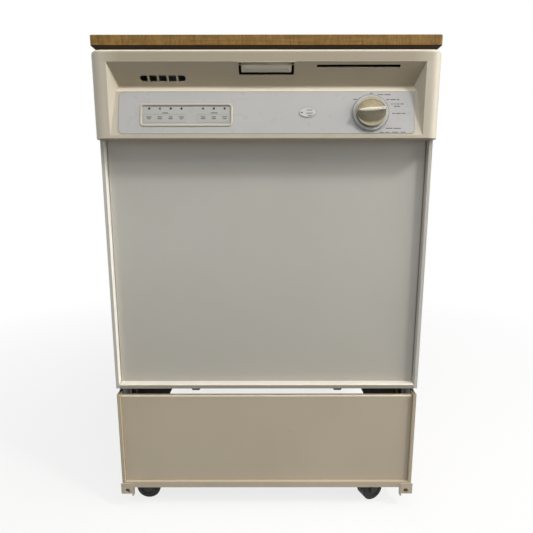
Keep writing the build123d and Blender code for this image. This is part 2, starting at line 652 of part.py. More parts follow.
# Rubber seal round the top and both sides of the tub's mouth
with BuildPart() as tub_gasket:
    with BuildSketch(upright(LINER_BACK + SEAL_SQUEEZE)):
        with Locations((0, (TUB_SILL + TUB_ROOF) / 2)):
            RectangleRounded(2 * TUB_HALF_WIDTH + 20, TUB_ROOF - TUB_SILL + 4, TUB_CORNER)
            RectangleRounded(2 * TUB_HALF_WIDTH + 2, TUB_ROOF - TUB_SILL - 14, TUB_CORNER - 6,
                             mode=Mode.SUBTRACT)
        with Locations((0, TUB_SILL)):
            Rectangle(3 * TUB_HALF_WIDTH, 50, mode=Mode.SUBTRACT)
    extrude(amount=SEAL_SQUEEZE - SEAL_GAP)

# Sump with the lower arm's bearing pin, and the pump and motor hung under it
SUMP_BOTTOM = TUB_FLOOR - SUMP_DEPTH
OUTLET_X = PUMP_DIAMETER / 2 - HOSE_DIAMETER / 2 - 2 - OUTLET_INSET
ARM_BOTTOM = TUB_FLOOR + ARM_RISE
with BuildPart() as sump:
    with BuildSketch(across()):
        with BuildLine():
            Polyline((TUB_CENTRE, SUMP_BOTTOM), (TUB_CENTRE + SUMP_DIAMETER / 2 - 22, SUMP_BOTTOM),
                     (TUB_CENTRE + SUMP_DIAMETER / 2, SUMP_BOTTOM + 22),
                     (TUB_CENTRE + SUMP_DIAMETER / 2, TUB_FLOOR),
                     (TUB_CENTRE + SUMP_DIAMETER / 2 + SUMP_FLANGE, TUB_FLOOR),
                     (TUB_CENTRE + SUMP_DIAMETER / 2 + SUMP_FLANGE - 2, TUB_FLOOR + 3),
                     (TUB_CENTRE + SUMP_DIAMETER / 2 - 3, TUB_FLOOR + 3),
                     (TUB_CENTRE + SUMP_DIAMETER / 2 - 3, SUMP_BOTTOM + 23),
                     (TUB_CENTRE + SUMP_DIAMETER / 2 - 23, SUMP_BOTTOM + 3),
                     (TUB_CENTRE + ARM_PIN_DIAMETER / 2 + 6, SUMP_BOTTOM + 3),
                     (TUB_CENTRE + ARM_PIN_DIAMETER / 2 + 4, ARM_BOTTOM - 6.4),
                     (TUB_CENTRE + ARM_PIN_DIAMETER / 2, ARM_BOTTOM - 6.4),
                     (TUB_CENTRE + ARM_PIN_DIAMETER / 2, ARM_BOTTOM + ARM_THICKNESS + 5),
                     (TUB_CENTRE, ARM_BOTTOM + ARM_THICKNESS + 5), close=True)
        make_face()
    revolve(axis=Axis((0, at(TUB_CENTRE), 0), (0, 0, 1)))
with BuildPart() as wash_pump:
    with Locations((0, at(TUB_CENTRE), SUMP_BOTTOM - PUMP_HEIGHT / 2)):
        Cylinder(PUMP_DIAMETER / 2, PUMP_HEIGHT)
    with Locations(Location((OUTLET_X, at(TUB_CENTRE + OUTLET_LENGTH / 2), DRAIN_HEIGHT), (90, 0, 0))):
        Cylinder(HOSE_DIAMETER / 2 + 2, OUTLET_LENGTH)
    fillet(wash_pump.edges().group_by(Axis.Z)[0], radius=6)
with BuildPart() as pump_motor:
    with BuildSketch(across()):
        with BuildLine():
            Polyline((TUB_CENTRE, SUMP_BOTTOM - PUMP_HEIGHT),
                     (TUB_CENTRE + MOTOR_DIAMETER / 2 - 12, SUMP_BOTTOM - PUMP_HEIGHT),
                     (TUB_CENTRE + MOTOR_DIAMETER / 2 - 6, SUMP_BOTTOM - PUMP_HEIGHT - 25),
                     (TUB_CENTRE + MOTOR_DIAMETER / 2, SUMP_BOTTOM - PUMP_HEIGHT - 25),
                     (TUB_CENTRE + MOTOR_DIAMETER / 2, SUMP_BOTTOM - PUMP_HEIGHT - MOTOR_HEIGHT + 25),
                     (TUB_CENTRE + MOTOR_DIAMETER / 2 - 6, SUMP_BOTTOM - PUMP_HEIGHT - MOTOR_HEIGHT + 25),
                     (TUB_CENTRE + 25, SUMP_BOTTOM - PUMP_HEIGHT - MOTOR_HEIGHT),
                     (TUB_CENTRE, SUMP_BOTTOM - PUMP_HEIGHT - MOTOR_HEIGHT), close=True)
        make_face()
    revolve(axis=Axis((0, at(TUB_CENTRE), 0), (0, 0, 1)))

# Heating element: one bent rod whose ends go down through the tub's floor
HEATER_Z = TUB_FLOOR + HEATER_RISE
with BuildPart() as heating_element:
    with BuildLine(level(0)) as rod:
        FilletPolyline((-20, TUB_CENTRE + HEATER_HALF_DEPTH, TUB_FLOOR - 12),
                       (-20, TUB_CENTRE + HEATER_HALF_DEPTH, HEATER_Z),
                       (-HEATER_HALF_WIDTH, TUB_CENTRE + HEATER_HALF_DEPTH, HEATER_Z),
                       (-HEATER_HALF_WIDTH, TUB_CENTRE - HEATER_HALF_DEPTH, HEATER_Z),
                       (HEATER_HALF_WIDTH, TUB_CENTRE - HEATER_HALF_DEPTH, HEATER_Z),
                       (HEATER_HALF_WIDTH, TUB_CENTRE + HEATER_HALF_DEPTH, HEATER_Z),
                       (20, TUB_CENTRE + HEATER_HALF_DEPTH, HEATER_Z),
                       (20, TUB_CENTRE + HEATER_HALF_DEPTH, TUB_FLOOR - 12), radius=12)
    with BuildSketch(rod.line ^ 0):
        Circle(HEATER_DIAMETER / 2)
    sweep()

# Water feed tube up the back of the tub and forward to the upper arm's bearing pin
FEED_DEPTH = TUB_BACK - TUB_WALL - TUB_CORNER - FEED_DIAMETER / 2
FEED_Z = TUB_FLOOR + FEED_RISE
UPPER_PIN_BOTTOM = FEED_Z - 40
with BuildPart() as feed_tube:
    with BuildLine(level(0)) as run:
        FilletPolyline((0, FEED_DEPTH, TUB_FLOOR), (0, FEED_DEPTH, FEED_Z), (0, TUB_CENTRE, FEED_Z),
                       radius=24)
    with BuildSketch(run.line ^ 0):
        Circle(FEED_DIAMETER / 2)
        Circle(FEED_DIAMETER / 2 - FEED_WALL, mode=Mode.SUBTRACT)
    sweep()
    with Locations((0, at(TUB_CENTRE), FEED_Z)):
        Cylinder(UPPER_PIN_DIAMETER / 2 + 5, FEED_DIAMETER + 6)
    with Locations((0, at(TUB_CENTRE), (FEED_Z + UPPER_PIN_BOTTOM) / 2)):
        Cylinder(UPPER_PIN_DIAMETER / 2, FEED_Z - UPPER_PIN_BOTTOM)
    with Locations((0, at(TUB_CENTRE), UPPER_PIN_BOTTOM - 1.5)):
        Cylinder(UPPER_PIN_DIAMETER / 2 + 4, 3.0)


def spray_arm(bottom, pin_diameter, hub_bottom, hub_top):
    """A two-ended spray arm with a hub and two rows of nozzles."""
    with BuildPart() as piece:
        with BuildSketch(Plane(origin=(0, at(TUB_CENTRE), bottom))):
            Circle(ARM_ROOT)
            with Locations((-ARM_REACH, 0), (ARM_REACH, 0)):
                Circle(ARM_TIP)
            make_hull()
        extrude(amount=ARM_THICKNESS)
        fillet(piece.edges().group_by(Axis.Z)[-1], radius=4.0)
        with Locations((0, at(TUB_CENTRE), (hub_bottom + hub_top) / 2)):
            Cylinder(pin_diameter / 2 + 5, hub_top - hub_bottom)
        with BuildSketch(Plane(origin=(0, at(TUB_CENTRE), bottom + ARM_THICKNESS))):
            for step in range(4):
                with Locations((-60 - 42 * step, 4), (60 + 42 * step, -4)):
                    SlotOverall(11, 3)
        extrude(amount=-3.0, mode=Mode.SUBTRACT)
        with Locations((0, at(TUB_CENTRE), (hub_bottom + hub_top) / 2)):
            Cylinder(pin_diameter / 2 + RUNNING_FIT, hub_top - hub_bottom + 20, mode=Mode.SUBTRACT)
    return piece.part


lower_spray_arm = spray_arm(ARM_BOTTOM, ARM_PIN_DIAMETER, ARM_BOTTOM - 6, ARM_BOTTOM + ARM_THICKNESS + 4)
upper_spray_arm = spray_arm(UPPER_PIN_BOTTOM + 8, UPPER_PIN_DIAMETER, UPPER_PIN_BOTTOM + 0.4,
                            UPPER_PIN_BOTTOM + 8 + ARM_THICKNESS + 4)

# Overfill float: a dome on a stem that goes down through the tub's floor
with BuildPart() as overfill_float:
    with BuildSketch(across(FLOAT_X)):
        with BuildLine():
            Polyline((TUB_FRONT + FLOAT_SETBACK, TUB_FLOOR - 30),
                     (TUB_FRONT + FLOAT_SETBACK + FLOAT_STEM / 2, TUB_FLOOR - 30),
                     (TUB_FRONT + FLOAT_SETBACK + FLOAT_STEM / 2, TUB_FLOOR + 0.3),
                     (TUB_FRONT + FLOAT_SETBACK + FLOAT_DIAMETER / 2, TUB_FLOOR + 0.3),
                     (TUB_FRONT + FLOAT_SETBACK + FLOAT_DIAMETER / 2, TUB_FLOOR + FLOAT_HEIGHT - 10),
                     (TUB_FRONT + FLOAT_SETBACK + FLOAT_DIAMETER / 2 - 8, TUB_FLOOR + FLOAT_HEIGHT),
                     (TUB_FRONT + FLOAT_SETBACK, TUB_FLOOR + FLOAT_HEIGHT), close=True)
        make_face()
    revolve(axis=Axis((FLOAT_X, at(TUB_FRONT + FLOAT_SETBACK), 0), (0, 0, 1)))


def grille(plane, width, height, columns, rows):
    """A flat welded grid of wires, from its lower left corner on a plane."""
    pitch_x = (width - WIRE) / columns
    pitch_y = (height - WIRE) / rows
    with BuildPart() as piece:
        with BuildSketch(plane):
            with Locations((width / 2, height / 2)):
                Rectangle(width, height)
                with GridLocations(pitch_x, pitch_y, columns, rows):
                    Rectangle(pitch_x - WIRE, pitch_y - WIRE, mode=Mode.SUBTRACT)
        extrude(amount=WIRE)
    return piece.part


RACK_FRONT = LINER_BACK + RACK_FRONT_GAP
RACK_BACK = TUB_BACK - TUB_WALL - RACK_REAR_GAP
LOWER_HALF = TUB_HALF_WIDTH - RACK_SIDE_GAP
LOWER_FLOOR = TUB_FLOOR + LOWER_RACK_RISE
UPPER_HALF = LOWER_HALF - UPPER_RACK_INSET
UPPER_FLOOR = TUB_FLOOR + UPPER_RACK_RISE


def rack(half_width, floor, wall):
    """The floor and the four walls of a wire rack, front and back first, then left and right."""
    depth = RACK_BACK - RACK_FRONT
    front = Plane(origin=(-half_width, at(RACK_FRONT + WIRE), floor + WIRE), x_dir=(1, 0, 0),
                  z_dir=(0, -1, 0))
    back = Plane(origin=(-half_width, at(RACK_BACK), floor + WIRE), x_dir=(1, 0, 0), z_dir=(0, -1, 0))
    left = Plane(origin=(-half_width, at(RACK_FRONT + WIRE), floor + WIRE), x_dir=(0, 1, 0), z_dir=(1, 0, 0))
    right = Plane(origin=(half_width - WIRE, at(RACK_FRONT + WIRE), floor + WIRE), x_dir=(0, 1, 0),
                  z_dir=(1, 0, 0))
    bottom = Plane(origin=(-half_width, at(RACK_FRONT), floor))
    return [grille(bottom, 2 * half_width, depth, RACK_COLUMNS, RACK_ROWS),
            grille(front, 2 * half_width, wall, RACK_COLUMNS, 2),
            grille(back, 2 * half_width, wall, RACK_COLUMNS, 2),
            grille(left, depth - 2 * WIRE, wall, RACK_ROWS, 2),
            grille(right, depth - 2 * WIRE, wall, RACK_ROWS, 2)]


# Lower rack: wire walls, roller hangers with their pins, and rows of tines
ROLLER_Z = TUB_FLOOR + ROLLER_DIAMETER / 2 + 0.2
ROLLER_DEPTHS = (RACK_FRONT + ROLLER_SETBACK, RACK_BACK - ROLLER_SETBACK)
lower_panels = rack(LOWER_HALF, LOWER_FLOOR, LOWER_RACK_WALL)
hangers = []
for side in (-1, 1):
    for depth in ROLLER_DEPTHS:
        with BuildPart() as hanger:
            with BuildSketch(across(side * LOWER_HALF)):
                with Locations((depth, (ROLLER_Z - 8 + LOWER_FLOOR + 20) / 2)):
                    Rectangle(24, LOWER_FLOOR + 28 - ROLLER_Z)
            extrude(amount=side * 3.0)
            with BuildSketch(across(side * LOWER_HALF)):
                with Locations((depth, ROLLER_Z)):
                    Circle(AXLE_DIAMETER / 2)
            extrude(amount=side * (3.0 + ROLLER_WIDTH + 2.0))
        hangers.append(hanger.part)
tines = []
for wire in (1, 3, 5, 7):
    row = -LOWER_HALF + WIRE / 2 + wire * (2 * LOWER_HALF - WIRE) / RACK_COLUMNS
    for step in range(6):
        depth = RACK_FRONT + 75 + TINE_PITCH * step
        with BuildPart() as tine:
            with Locations((row, at(depth), LOWER_FLOOR + WIRE + TINE_HEIGHT / 2)):
                Box(WIRE, WIRE, TINE_HEIGHT)
        tines.append(tine.part)


def rollers(depth):
    """The left and right rollers of one axle line of the lower rack."""
    pair = []
    for side in (-1, 1):
        with BuildPart() as roller:
            with BuildSketch(across(side * (LOWER_HALF + 3.5))):
                with Locations((depth, ROLLER_Z)):
                    Circle(ROLLER_DIAMETER / 2)
                    Circle(AXLE_DIAMETER / 2 + RUNNING_FIT, mode=Mode.SUBTRACT)
            extrude(amount=side * ROLLER_WIDTH)
        pair.append(roller.part)
    return pair


# Upper rack with a runner on each side, and the tracks the runners slide in
TRACK_Z = TUB_FLOOR + TRACK_RISE
upper_panels = rack(UPPER_HALF, UPPER_FLOOR, UPPER_RACK_WALL)
runners = []
tracks = []
for side in (-1, 1):
    with BuildPart() as runner:
        with BuildSketch(Plane(origin=(0, at(RACK_FRONT + 10), 0), x_dir=(1, 0, 0), z_dir=(0, -1, 0))):
            with Locations((side * (UPPER_HALF + TUB_HALF_WIDTH - 3 - SLIDE_FIT) / 2, TRACK_Z)):
                Rectangle(TUB_HALF_WIDTH - 3 - SLIDE_FIT - UPPER_HALF, TRACK_HEIGHT - 6 - 2 * SLIDE_FIT)
        extrude(amount=RACK_FRONT + 20 - RACK_BACK)
    runners.append(runner.part)
    with BuildPart() as track:
        with BuildSketch(Plane(origin=(0, at(RACK_FRONT - 18), 0), x_dir=(1, 0, 0), z_dir=(0, -1, 0))):
            with Locations((side * (TUB_HALF_WIDTH - TRACK_DEPTH / 2), TRACK_Z)):
                Rectangle(TRACK_DEPTH, TRACK_HEIGHT)
            with Locations((side * (TUB_HALF_WIDTH - 3 - TRACK_DEPTH / 2), TRACK_Z)):
                Rectangle(TRACK_DEPTH, TRACK_HEIGHT - 6, mode=Mode.SUBTRACT)
        extrude(amount=RACK_FRONT - 18 - RACK_BACK)
    tracks.append(track.part)

# Silverware basket: an open box with two partitions and slotted sides
BASKET_X = LOWER_HALF - WIRE - 3 - BASKET_WIDTH / 2
BASKET_DEPTH = (RACK_FRONT + RACK_BACK) / 2
BASKET_FLOOR = LOWER_FLOOR + WIRE
with BuildPart() as silverware_basket:
    with BuildSketch(Plane(origin=(BASKET_X, at(BASKET_DEPTH), BASKET_FLOOR))):
        RectangleRounded(BASKET_WIDTH, BASKET_LENGTH, 8)
    extrude(amount=BASKET_HEIGHT)
    cell = (BASKET_LENGTH - 4 * BASKET_WALL) / 3
    with BuildSketch(Plane(origin=(BASKET_X, at(BASKET_DEPTH), BASKET_FLOOR + BASKET_WALL))):
        with GridLocations(1, cell + BASKET_WALL, 1, 3):
            RectangleRounded(BASKET_WIDTH - 2 * BASKET_WALL, cell, 5)
    extrude(amount=BASKET_HEIGHT, mode=Mode.SUBTRACT)
    with BuildSketch(Plane(origin=(BASKET_X, at(BASKET_DEPTH), BASKET_FLOOR + BASKET_HEIGHT / 2),
                           x_dir=(0, 1, 0), z_dir=(1, 0, 0))):
        with GridLocations(cell / 3, 1, 9, 1):
            SlotOverall(BASKET_HEIGHT - 40, 10, rotation=90)
    extrude(amount=BASKET_WIDTH, both=True, mode=Mode.SUBTRACT)

# Door: outer panel with folded edges, bottom trim, and the moulded inner liner
with BuildPart() as door_panel:
    with BuildSketch(level(PANEL_BOTTOM)):
        add(folded([(DOOR_HALF_WIDTH, LINER_FRONT), (DOOR_HALF_WIDTH, PANEL_SETBACK),
                    (-DOOR_HALF_WIDTH, PANEL_SETBACK), (-DOOR_HALF_WIDTH, LINER_FRONT)], Side.RIGHT))
    extrude(amount=CONSOLE_BOTTOM - PANEL_BOTTOM)
    for side in (-1, 1):
        plate(sorted((side * (DOOR_HALF_WIDTH - 3), side * (DOOR_HALF_WIDTH + 1))),
              (PANEL_SETBACK + SHEET, LINER_FRONT + 1), (PANEL_BOTTOM - 1, HINGE_Z + 20), mode=Mode.SUBTRACT)
with BuildPart() as door_trim:
    with BuildSketch(across(1 - DOOR_HALF_WIDTH)):
        with BuildLine():
            Polyline((PANEL_SETBACK - TRIM_REACH + TRIM_LEAN, DOOR_BOTTOM),
                     (PANEL_SETBACK - TRIM_REACH, PANEL_BOTTOM - 2),
                     (PANEL_SETBACK - TRIM_REACH + 2, PANEL_BOTTOM),
                     (PANEL_SETBACK + SHEET + 2, PANEL_BOTTOM),
                     (PANEL_SETBACK + SHEET + 2, PANEL_BOTTOM - 3),
                     (PANEL_SETBACK - TRIM_REACH + 4, PANEL_BOTTOM - 4),
                     (PANEL_SETBACK - TRIM_REACH + 4, DOOR_BOTTOM), close=True)
        make_face()
    extrude(amount=2 * DOOR_HALF_WIDTH - 2)
DISPENSER_Z = LINER_BOTTOM + DISPENSER_RISE
with BuildPart() as door_liner:
    with BuildSketch(upright(LINER_FRONT)):
        with Locations((0, (LINER_BOTTOM + LINER_TOP) / 2)):
            RectangleRounded(2 * LINER_HALF_WIDTH, LINER_TOP - LINER_BOTTOM, 10)
    extrude(amount=-LINER_DEPTH)
    fillet(door_liner.edges().group_by(Axis.Y)[-1], radius=6)
    offset(amount=-LINER_WALL, openings=door_liner.faces().sort_by(Axis.Y)[0])
    with BuildSketch(upright(LINER_FRONT)):
        with Locations((0, (LINER_BOTTOM + LINER_TOP) / 2)):
            Rectangle(2 * (LINER_HALF_WIDTH + LINER_RIM), LINER_TOP - LINER_BOTTOM)
            Rectangle(2 * (LINER_HALF_WIDTH - LINER_WALL), LINER_TOP - LINER_BOTTOM - 2 * LINER_WALL,
                      mode=Mode.SUBTRACT)
    extrude(amount=-2.0)
    for side in (-1, 1):
        plate(sorted((side * LINER_HALF_WIDTH, side * (LINER_HALF_WIDTH + LINER_RIM + 1))),
              (LINER_FRONT - 1, LINER_FRONT + 3), (LINER_BOTTOM - 1, HINGE_Z + ARM_HEIGHT + 4),
              mode=Mode.SUBTRACT)
    with BuildSketch(upright(LINER_BACK + 1)):
        with Locations((DISPENSER_X, DISPENSER_Z)):
            RectangleRounded(DISPENSER_WIDTH + 2 * LID_FIT, DISPENSER_HEIGHT + 2 * LID_FIT, 6)
    extrude(amount=LINER_WALL + 2, mode=Mode.SUBTRACT)

# Hinge arm on the outside of each liner wall, with the pin's bore in front and the spring's tail behind
with BuildPart() as hinge_arm_left:
    with BuildSketch(across(-LINER_HALF_WIDTH)):
        with BuildLine():
            Polyline((HINGE_DEPTH - 8, HINGE_Z - 8), (HINGE_DEPTH + 6, HINGE_Z - 10),
                     (SPRING_DEPTH - 6, BASE_TOP - 4), (SPRING_DEPTH + 6, BASE_TOP - 1),
                     (LINER_BACK - 10, HINGE_Z + 6), (LINER_BACK - 12, HINGE_Z + ARM_HEIGHT),
                     (LINER_FRONT + 6, HINGE_Z + ARM_HEIGHT), (HINGE_DEPTH - 8, HINGE_Z + 12), close=True)
        make_face()
        with Locations((HINGE_DEPTH, HINGE_Z)):
            Circle(HINGE_PIN_DIAMETER / 2 + RUNNING_FIT, mode=Mode.SUBTRACT)
    extrude(amount=-3.0)
hinge_arm_right = mirrored(hinge_arm_left.part)

# Door springs, drawn as the close-wound body with a straight wire at each end
door_springs = []
for side in (-1, 1):
    with BuildPart() as spring:
        with Locations((-side * SPRING_X, at(SPRING_DEPTH), (BASE_TOP - 4 + SPRING_BOTTOM) / 2)):
            Cylinder(1.25, BASE_TOP - 4 - SPRING_BOTTOM)
            Cylinder(SPRING_DIAMETER / 2, SPRING_LENGTH - 40)
    door_springs.append(spring.part)


def scoop_void(grow):
    """The hollow of the console's hand scoop and control face, grown by a wall thickness."""
    reach = CONSOLE_REACH + 40
    half = SCOOP_HALF_WIDTH + grow
    with BuildPart() as void:
        with BuildSketch(across(-half)):
            with BuildLine():
                Polyline((-reach, LIP_BOTTOM), (-CONSOLE_REACH, LIP_BOTTOM), (SCOOP_DEEPEST, SCOOP_BOTTOM),
                         (FACE_TOP_DEPTH, FACE_TOP), (FACE_BOTTOM_DEPTH, FACE_BOTTOM), (-reach, FACE_BOTTOM),
                         close=True)
            make_face()
            fillet(vertices().sort_by(Axis.X)[-2:], radius=SCOOP_BLEND)
            if grow:
                offset(amount=grow, kind=Kind.INTERSECTION)
        extrude(amount=2 * half)
        narrow = half - SCOOP_SIDE_SLOPE * (SCOOP_DEPTH + 40)
        with BuildSketch(level(CONSOLE_BOTTOM)):
            with BuildLine():
                Polyline((-half, -reach), (half, -reach), (half, -CONSOLE_REACH),
                         (narrow, SCOOP_DEEPEST + 40),
                         (-narrow, SCOOP_DEEPEST + 40), (-half, -CONSOLE_REACH), close=True)
            make_face()
        extrude(amount=CONSOLE_HEIGHT, mode=Mode.INTERSECT)
    return void.part


def console_block(inset):
    """The console's outer form between its two side wings, or the cavity behind its walls."""
    half = CABINET_WIDTH / 2 + WING_OVERHANG - inset
    wing_depth = CONSOLE_REACH - WING_GAP - 2 * inset
    rear = LINER_FRONT + (2.0 if inset else 0.0)
    with BuildPart() as form:
        with BuildSketch(level(CONSOLE_BOTTOM + inset)):
            with Locations((0, -(CONSOLE_REACH + WING_GAP) / 2)):
                Rectangle(2 * half, wing_depth)
            fillet(vertices().group_by(Axis.Y)[0], radius=min(CONSOLE_CORNER - inset, wing_depth - 1.0))
            with Locations((0, (rear - CONSOLE_REACH / 2) / 2)):
                Rectangle(2 * (LINER_HALF_WIDTH + LINER_RIM - inset), rear + CONSOLE_REACH / 2)
        extrude(amount=CONSOLE_HEIGHT - 2 * inset)
        if not inset:
            fillet(form.edges().group_by(Axis.Z)[-1].filter_by(lambda e: e.center().Y < at(-WING_GAP - 1)),
                   radius=CONSOLE_EASE)
    return form.part


# Console: a moulded shell, open behind, with a hand scoop over a tilted control face
with BuildPart() as console:
    add(console_block(0.0))
    add(scoop_void(0.0), mode=Mode.SUBTRACT)
    with BuildPart(mode=Mode.PRIVATE) as cavity:
        add(console_block(CONSOLE_WALL))
        add(scoop_void(CONSOLE_WALL), mode=Mode.SUBTRACT)
    add(cavity.part, mode=Mode.SUBTRACT)
    with BuildSketch(FACE):
        with Locations((0, INSERT_RISE)):
            RectangleRounded(INSERT_WIDTH + 2 * INSERT_FIT, INSERT_HEIGHT + 2 * INSERT_FIT, INSERT_CORNER)
    extrude(amount=-INSERT_POCKET, mode=Mode.SUBTRACT)
    with BuildSketch(FACE):
        with Locations((KNOB_X, KNOB_RISE)):
            Circle(SHAFT_DIAMETER / 2 + 2)
    extrude(amount=-3 * CONSOLE_WALL, mode=Mode.SUBTRACT)
    with BuildSketch(SCOOP):
        with Locations((VENT_X, -VENT_DOWN)):
            SlotOverall((VENT_COUNT - 1) * VENT_PITCH + VENT_WIDTH, VENT_HEIGHT)
            with GridLocations(VENT_PITCH, 1, VENT_COUNT - 1, 1):
                Rectangle(VENT_PITCH - VENT_WIDTH, VENT_HEIGHT, mode=Mode.SUBTRACT)
        with Locations((SLOT_X, -SLOT_DOWN)):
            Rectangle(SLOT_LENGTH, SLOT_HEIGHT)
        with Locations((0, -PADDLE_DOWN - APERTURE_HEIGHT / 2)):
            RectangleRounded(PADDLE_WIDTH + 2 * PADDLE_GAP, APERTURE_HEIGHT, 2.0)
    extrude(amount=-2 * CONSOLE_WALL, mode=Mode.SUBTRACT)

# Control insert in the console's pocket, with its keypad and indicators
WINDOW_WIDTH = KEYPAD_WIDTH - 2 * BEZEL_WIDTH
WINDOW_HEIGHT = KEYPAD_HEIGHT - 2 * BEZEL_WIDTH
WINDOW_CORNER = KEYPAD_CORNER - BEZEL_WIDTH
with BuildPart() as control_insert:
    with BuildSketch(FACE.offset(-INSERT_POCKET)):
        with Locations((0, INSERT_RISE)):
            RectangleRounded(INSERT_WIDTH, INSERT_HEIGHT, INSERT_CORNER)
        with Locations((KEYPAD_X, KEYPAD_RISE)):
            RectangleRounded(WINDOW_WIDTH, WINDOW_HEIGHT, WINDOW_CORNER, mode=Mode.SUBTRACT)
        with Locations((RINSE_X, RINSE_RISE)):
            Ellipse(RINSE_WIDTH / 2 + INSERT_FIT, RINSE_HEIGHT / 2 + INSERT_FIT, mode=Mode.SUBTRACT)
        with Locations((KNOB_X, KNOB_RISE)):
            Circle(SHAFT_DIAMETER / 2 + 2, mode=Mode.SUBTRACT)
    extrude(amount=INSERT_THICKNESS)
with BuildPart() as keypad_bezel:
    with BuildSketch(FACE.offset(INSERT_TOP)):
        with Locations((KEYPAD_X, KEYPAD_RISE)):
            RectangleRounded(KEYPAD_WIDTH, KEYPAD_HEIGHT, KEYPAD_CORNER)
            RectangleRounded(WINDOW_WIDTH, WINDOW_HEIGHT, WINDOW_CORNER, mode=Mode.SUBTRACT)
    extrude(amount=BEZEL_HEIGHT)
INDICATORS = [(KEYPAD_X + INDICATOR_START + INDICATOR_PITCH * place, KEYPAD_RISE + INDICATOR_RISE)
              for place in (0, 1, 2, 3, 5, 6, 7)]
with BuildPart() as keypad_film:
    with BuildSketch(FACE.offset(-INSERT_POCKET)):
        with Locations((KEYPAD_X, KEYPAD_RISE)):
            RectangleRounded(WINDOW_WIDTH - 2 * INSERT_FIT, WINDOW_HEIGHT - 2 * INSERT_FIT, WINDOW_CORNER)
        with Locations(*INDICATORS):
            Circle(INDICATOR_DIAMETER / 2 + 0.1, mode=Mode.SUBTRACT)
    extrude(amount=INSERT_TOP - FILM_SINK + INSERT_POCKET)
indicator_lenses = []
for place in INDICATORS:
    with BuildPart() as lens:
        with BuildSketch(FACE.offset(-INSERT_POCKET)):
            with Locations(place):
                Circle(INDICATOR_DIAMETER / 2)
        extrude(amount=INSERT_POCKET + 0.2)
    indicator_lenses.append(lens.part)
with BuildPart() as rinse_lens:
    with BuildSketch(FACE.offset(-INSERT_POCKET)):
        with Locations((RINSE_X, RINSE_RISE)):
            Ellipse(RINSE_WIDTH / 2, RINSE_HEIGHT / 2)
    extrude(amount=INSERT_THICKNESS + RINSE_DOME)
    fillet(rinse_lens.edges().group_by(SortBy.LENGTH)[-1], radius=RINSE_DOME * 0.9)
indicator_lenses.append(rinse_lens.part)

# Cycle timer behind the console, its shaft, and the dial and knob on the shaft
with BuildPart() as cycle_timer:
    with BuildSketch(FACE.offset(-CONSOLE_WALL)):
        with Locations((KNOB_X, KNOB_RISE)):
            RectangleRounded(TIMER_WIDTH, TIMER_WIDTH, 5)
            Circle(SHAFT_DIAMETER / 2 + RUNNING_FIT, mode=Mode.SUBTRACT)
    extrude(amount=-TIMER_DEPTH)
with BuildPart() as timer_shaft:
    with BuildSketch(FACE.offset(-CONSOLE_WALL - SHAFT_REACH)):
        with Locations((KNOB_X, KNOB_RISE)):
            Circle(SHAFT_DIAMETER / 2)
    extrude(amount=SHAFT_REACH + CONSOLE_WALL + KNOB_BOTTOM + KNOB_BASE - 1)
with BuildPart() as timer_dial:
    with BuildSketch(FACE.offset(DIAL_BOTTOM)):
        with Locations((KNOB_X, KNOB_RISE)):
            Circle(DIAL_DIAMETER / 2)
            Circle(SHAFT_DIAMETER / 2 + RUNNING_FIT, mode=Mode.SUBTRACT)
    extrude(amount=DIAL_THICKNESS, taper=18)
with BuildPart() as timer_knob:
    with BuildSketch(FACE.offset(KNOB_BOTTOM)):
        with Locations((KNOB_X, KNOB_RISE)):
            Circle(KNOB_DIAMETER / 2)
    extrude(amount=KNOB_BASE, taper=6)
    with BuildSketch(FACE.offset(KNOB_BOTTOM + KNOB_BASE - 0.5)):
        with Locations((KNOB_X, KNOB_RISE)):
            Ellipse(KNOB_GRIP_LENGTH / 2 + 1, KNOB_GRIP_WIDTH / 2, rotation=KNOB_TURN)
    with BuildSketch(FACE.offset(KNOB_TOP)):
        with Locations((KNOB_X, KNOB_RISE)):
            Ellipse(KNOB_GRIP_LENGTH / 2, KNOB_RIDGE / 2, rotation=KNOB_TURN)
    loft()
    with BuildSketch(FACE.offset(KNOB_BOTTOM)):
        with Locations((KNOB_X, KNOB_RISE)):
            Circle(SHAFT_DIAMETER / 2 + RUNNING_FIT)
    extrude(amount=KNOB_BASE - 0.9, mode=Mode.SUBTRACT)


def on_scoop(down, behind):
    """Depth and height of a point this far down the scoop's back and this far behind its surface."""
    return (down * math.sin(SCOOP_TILT) + behind * math.cos(SCOOP_TILT) - CONSOLE_REACH,
            LIP_BOTTOM - down * math.cos(SCOOP_TILT) + behind * math.sin(SCOOP_TILT))


# Latch paddle in the scoop, turning on two stub pins near its top edge
PADDLE_TOP = PADDLE_DOWN + PADDLE_TOP_GAP
PADDLE_AXIS = on_scoop(PADDLE_TOP + 2.0, CONSOLE_WALL + 3.0)
with BuildPart() as latch_paddle:
    with BuildSketch(SCOOP.offset(-0.5)):
        with Locations((0, -PADDLE_TOP - PADDLE_HEIGHT / 2)):
            RectangleRounded(PADDLE_WIDTH, PADDLE_HEIGHT, 2.0)
    extrude(amount=-PADDLE_THICKNESS)
    with BuildSketch(SCOOP.offset(-PADDLE_THICKNESS)):
        with Locations((0, -PADDLE_TOP - 2.2)):
            Rectangle(PADDLE_WIDTH, 4.4)
    extrude(amount=-CONSOLE_WALL - 2.0)
    with BuildSketch(across(-PADDLE_WIDTH / 2 - PADDLE_GAP - PADDLE_PIN_REACH)):
        with Locations(PADDLE_AXIS):
            Circle(LATCH_PIN_DIAMETER / 2)
    extrude(amount=PADDLE_WIDTH + 2 * PADDLE_GAP + 2 * PADDLE_PIN_REACH)

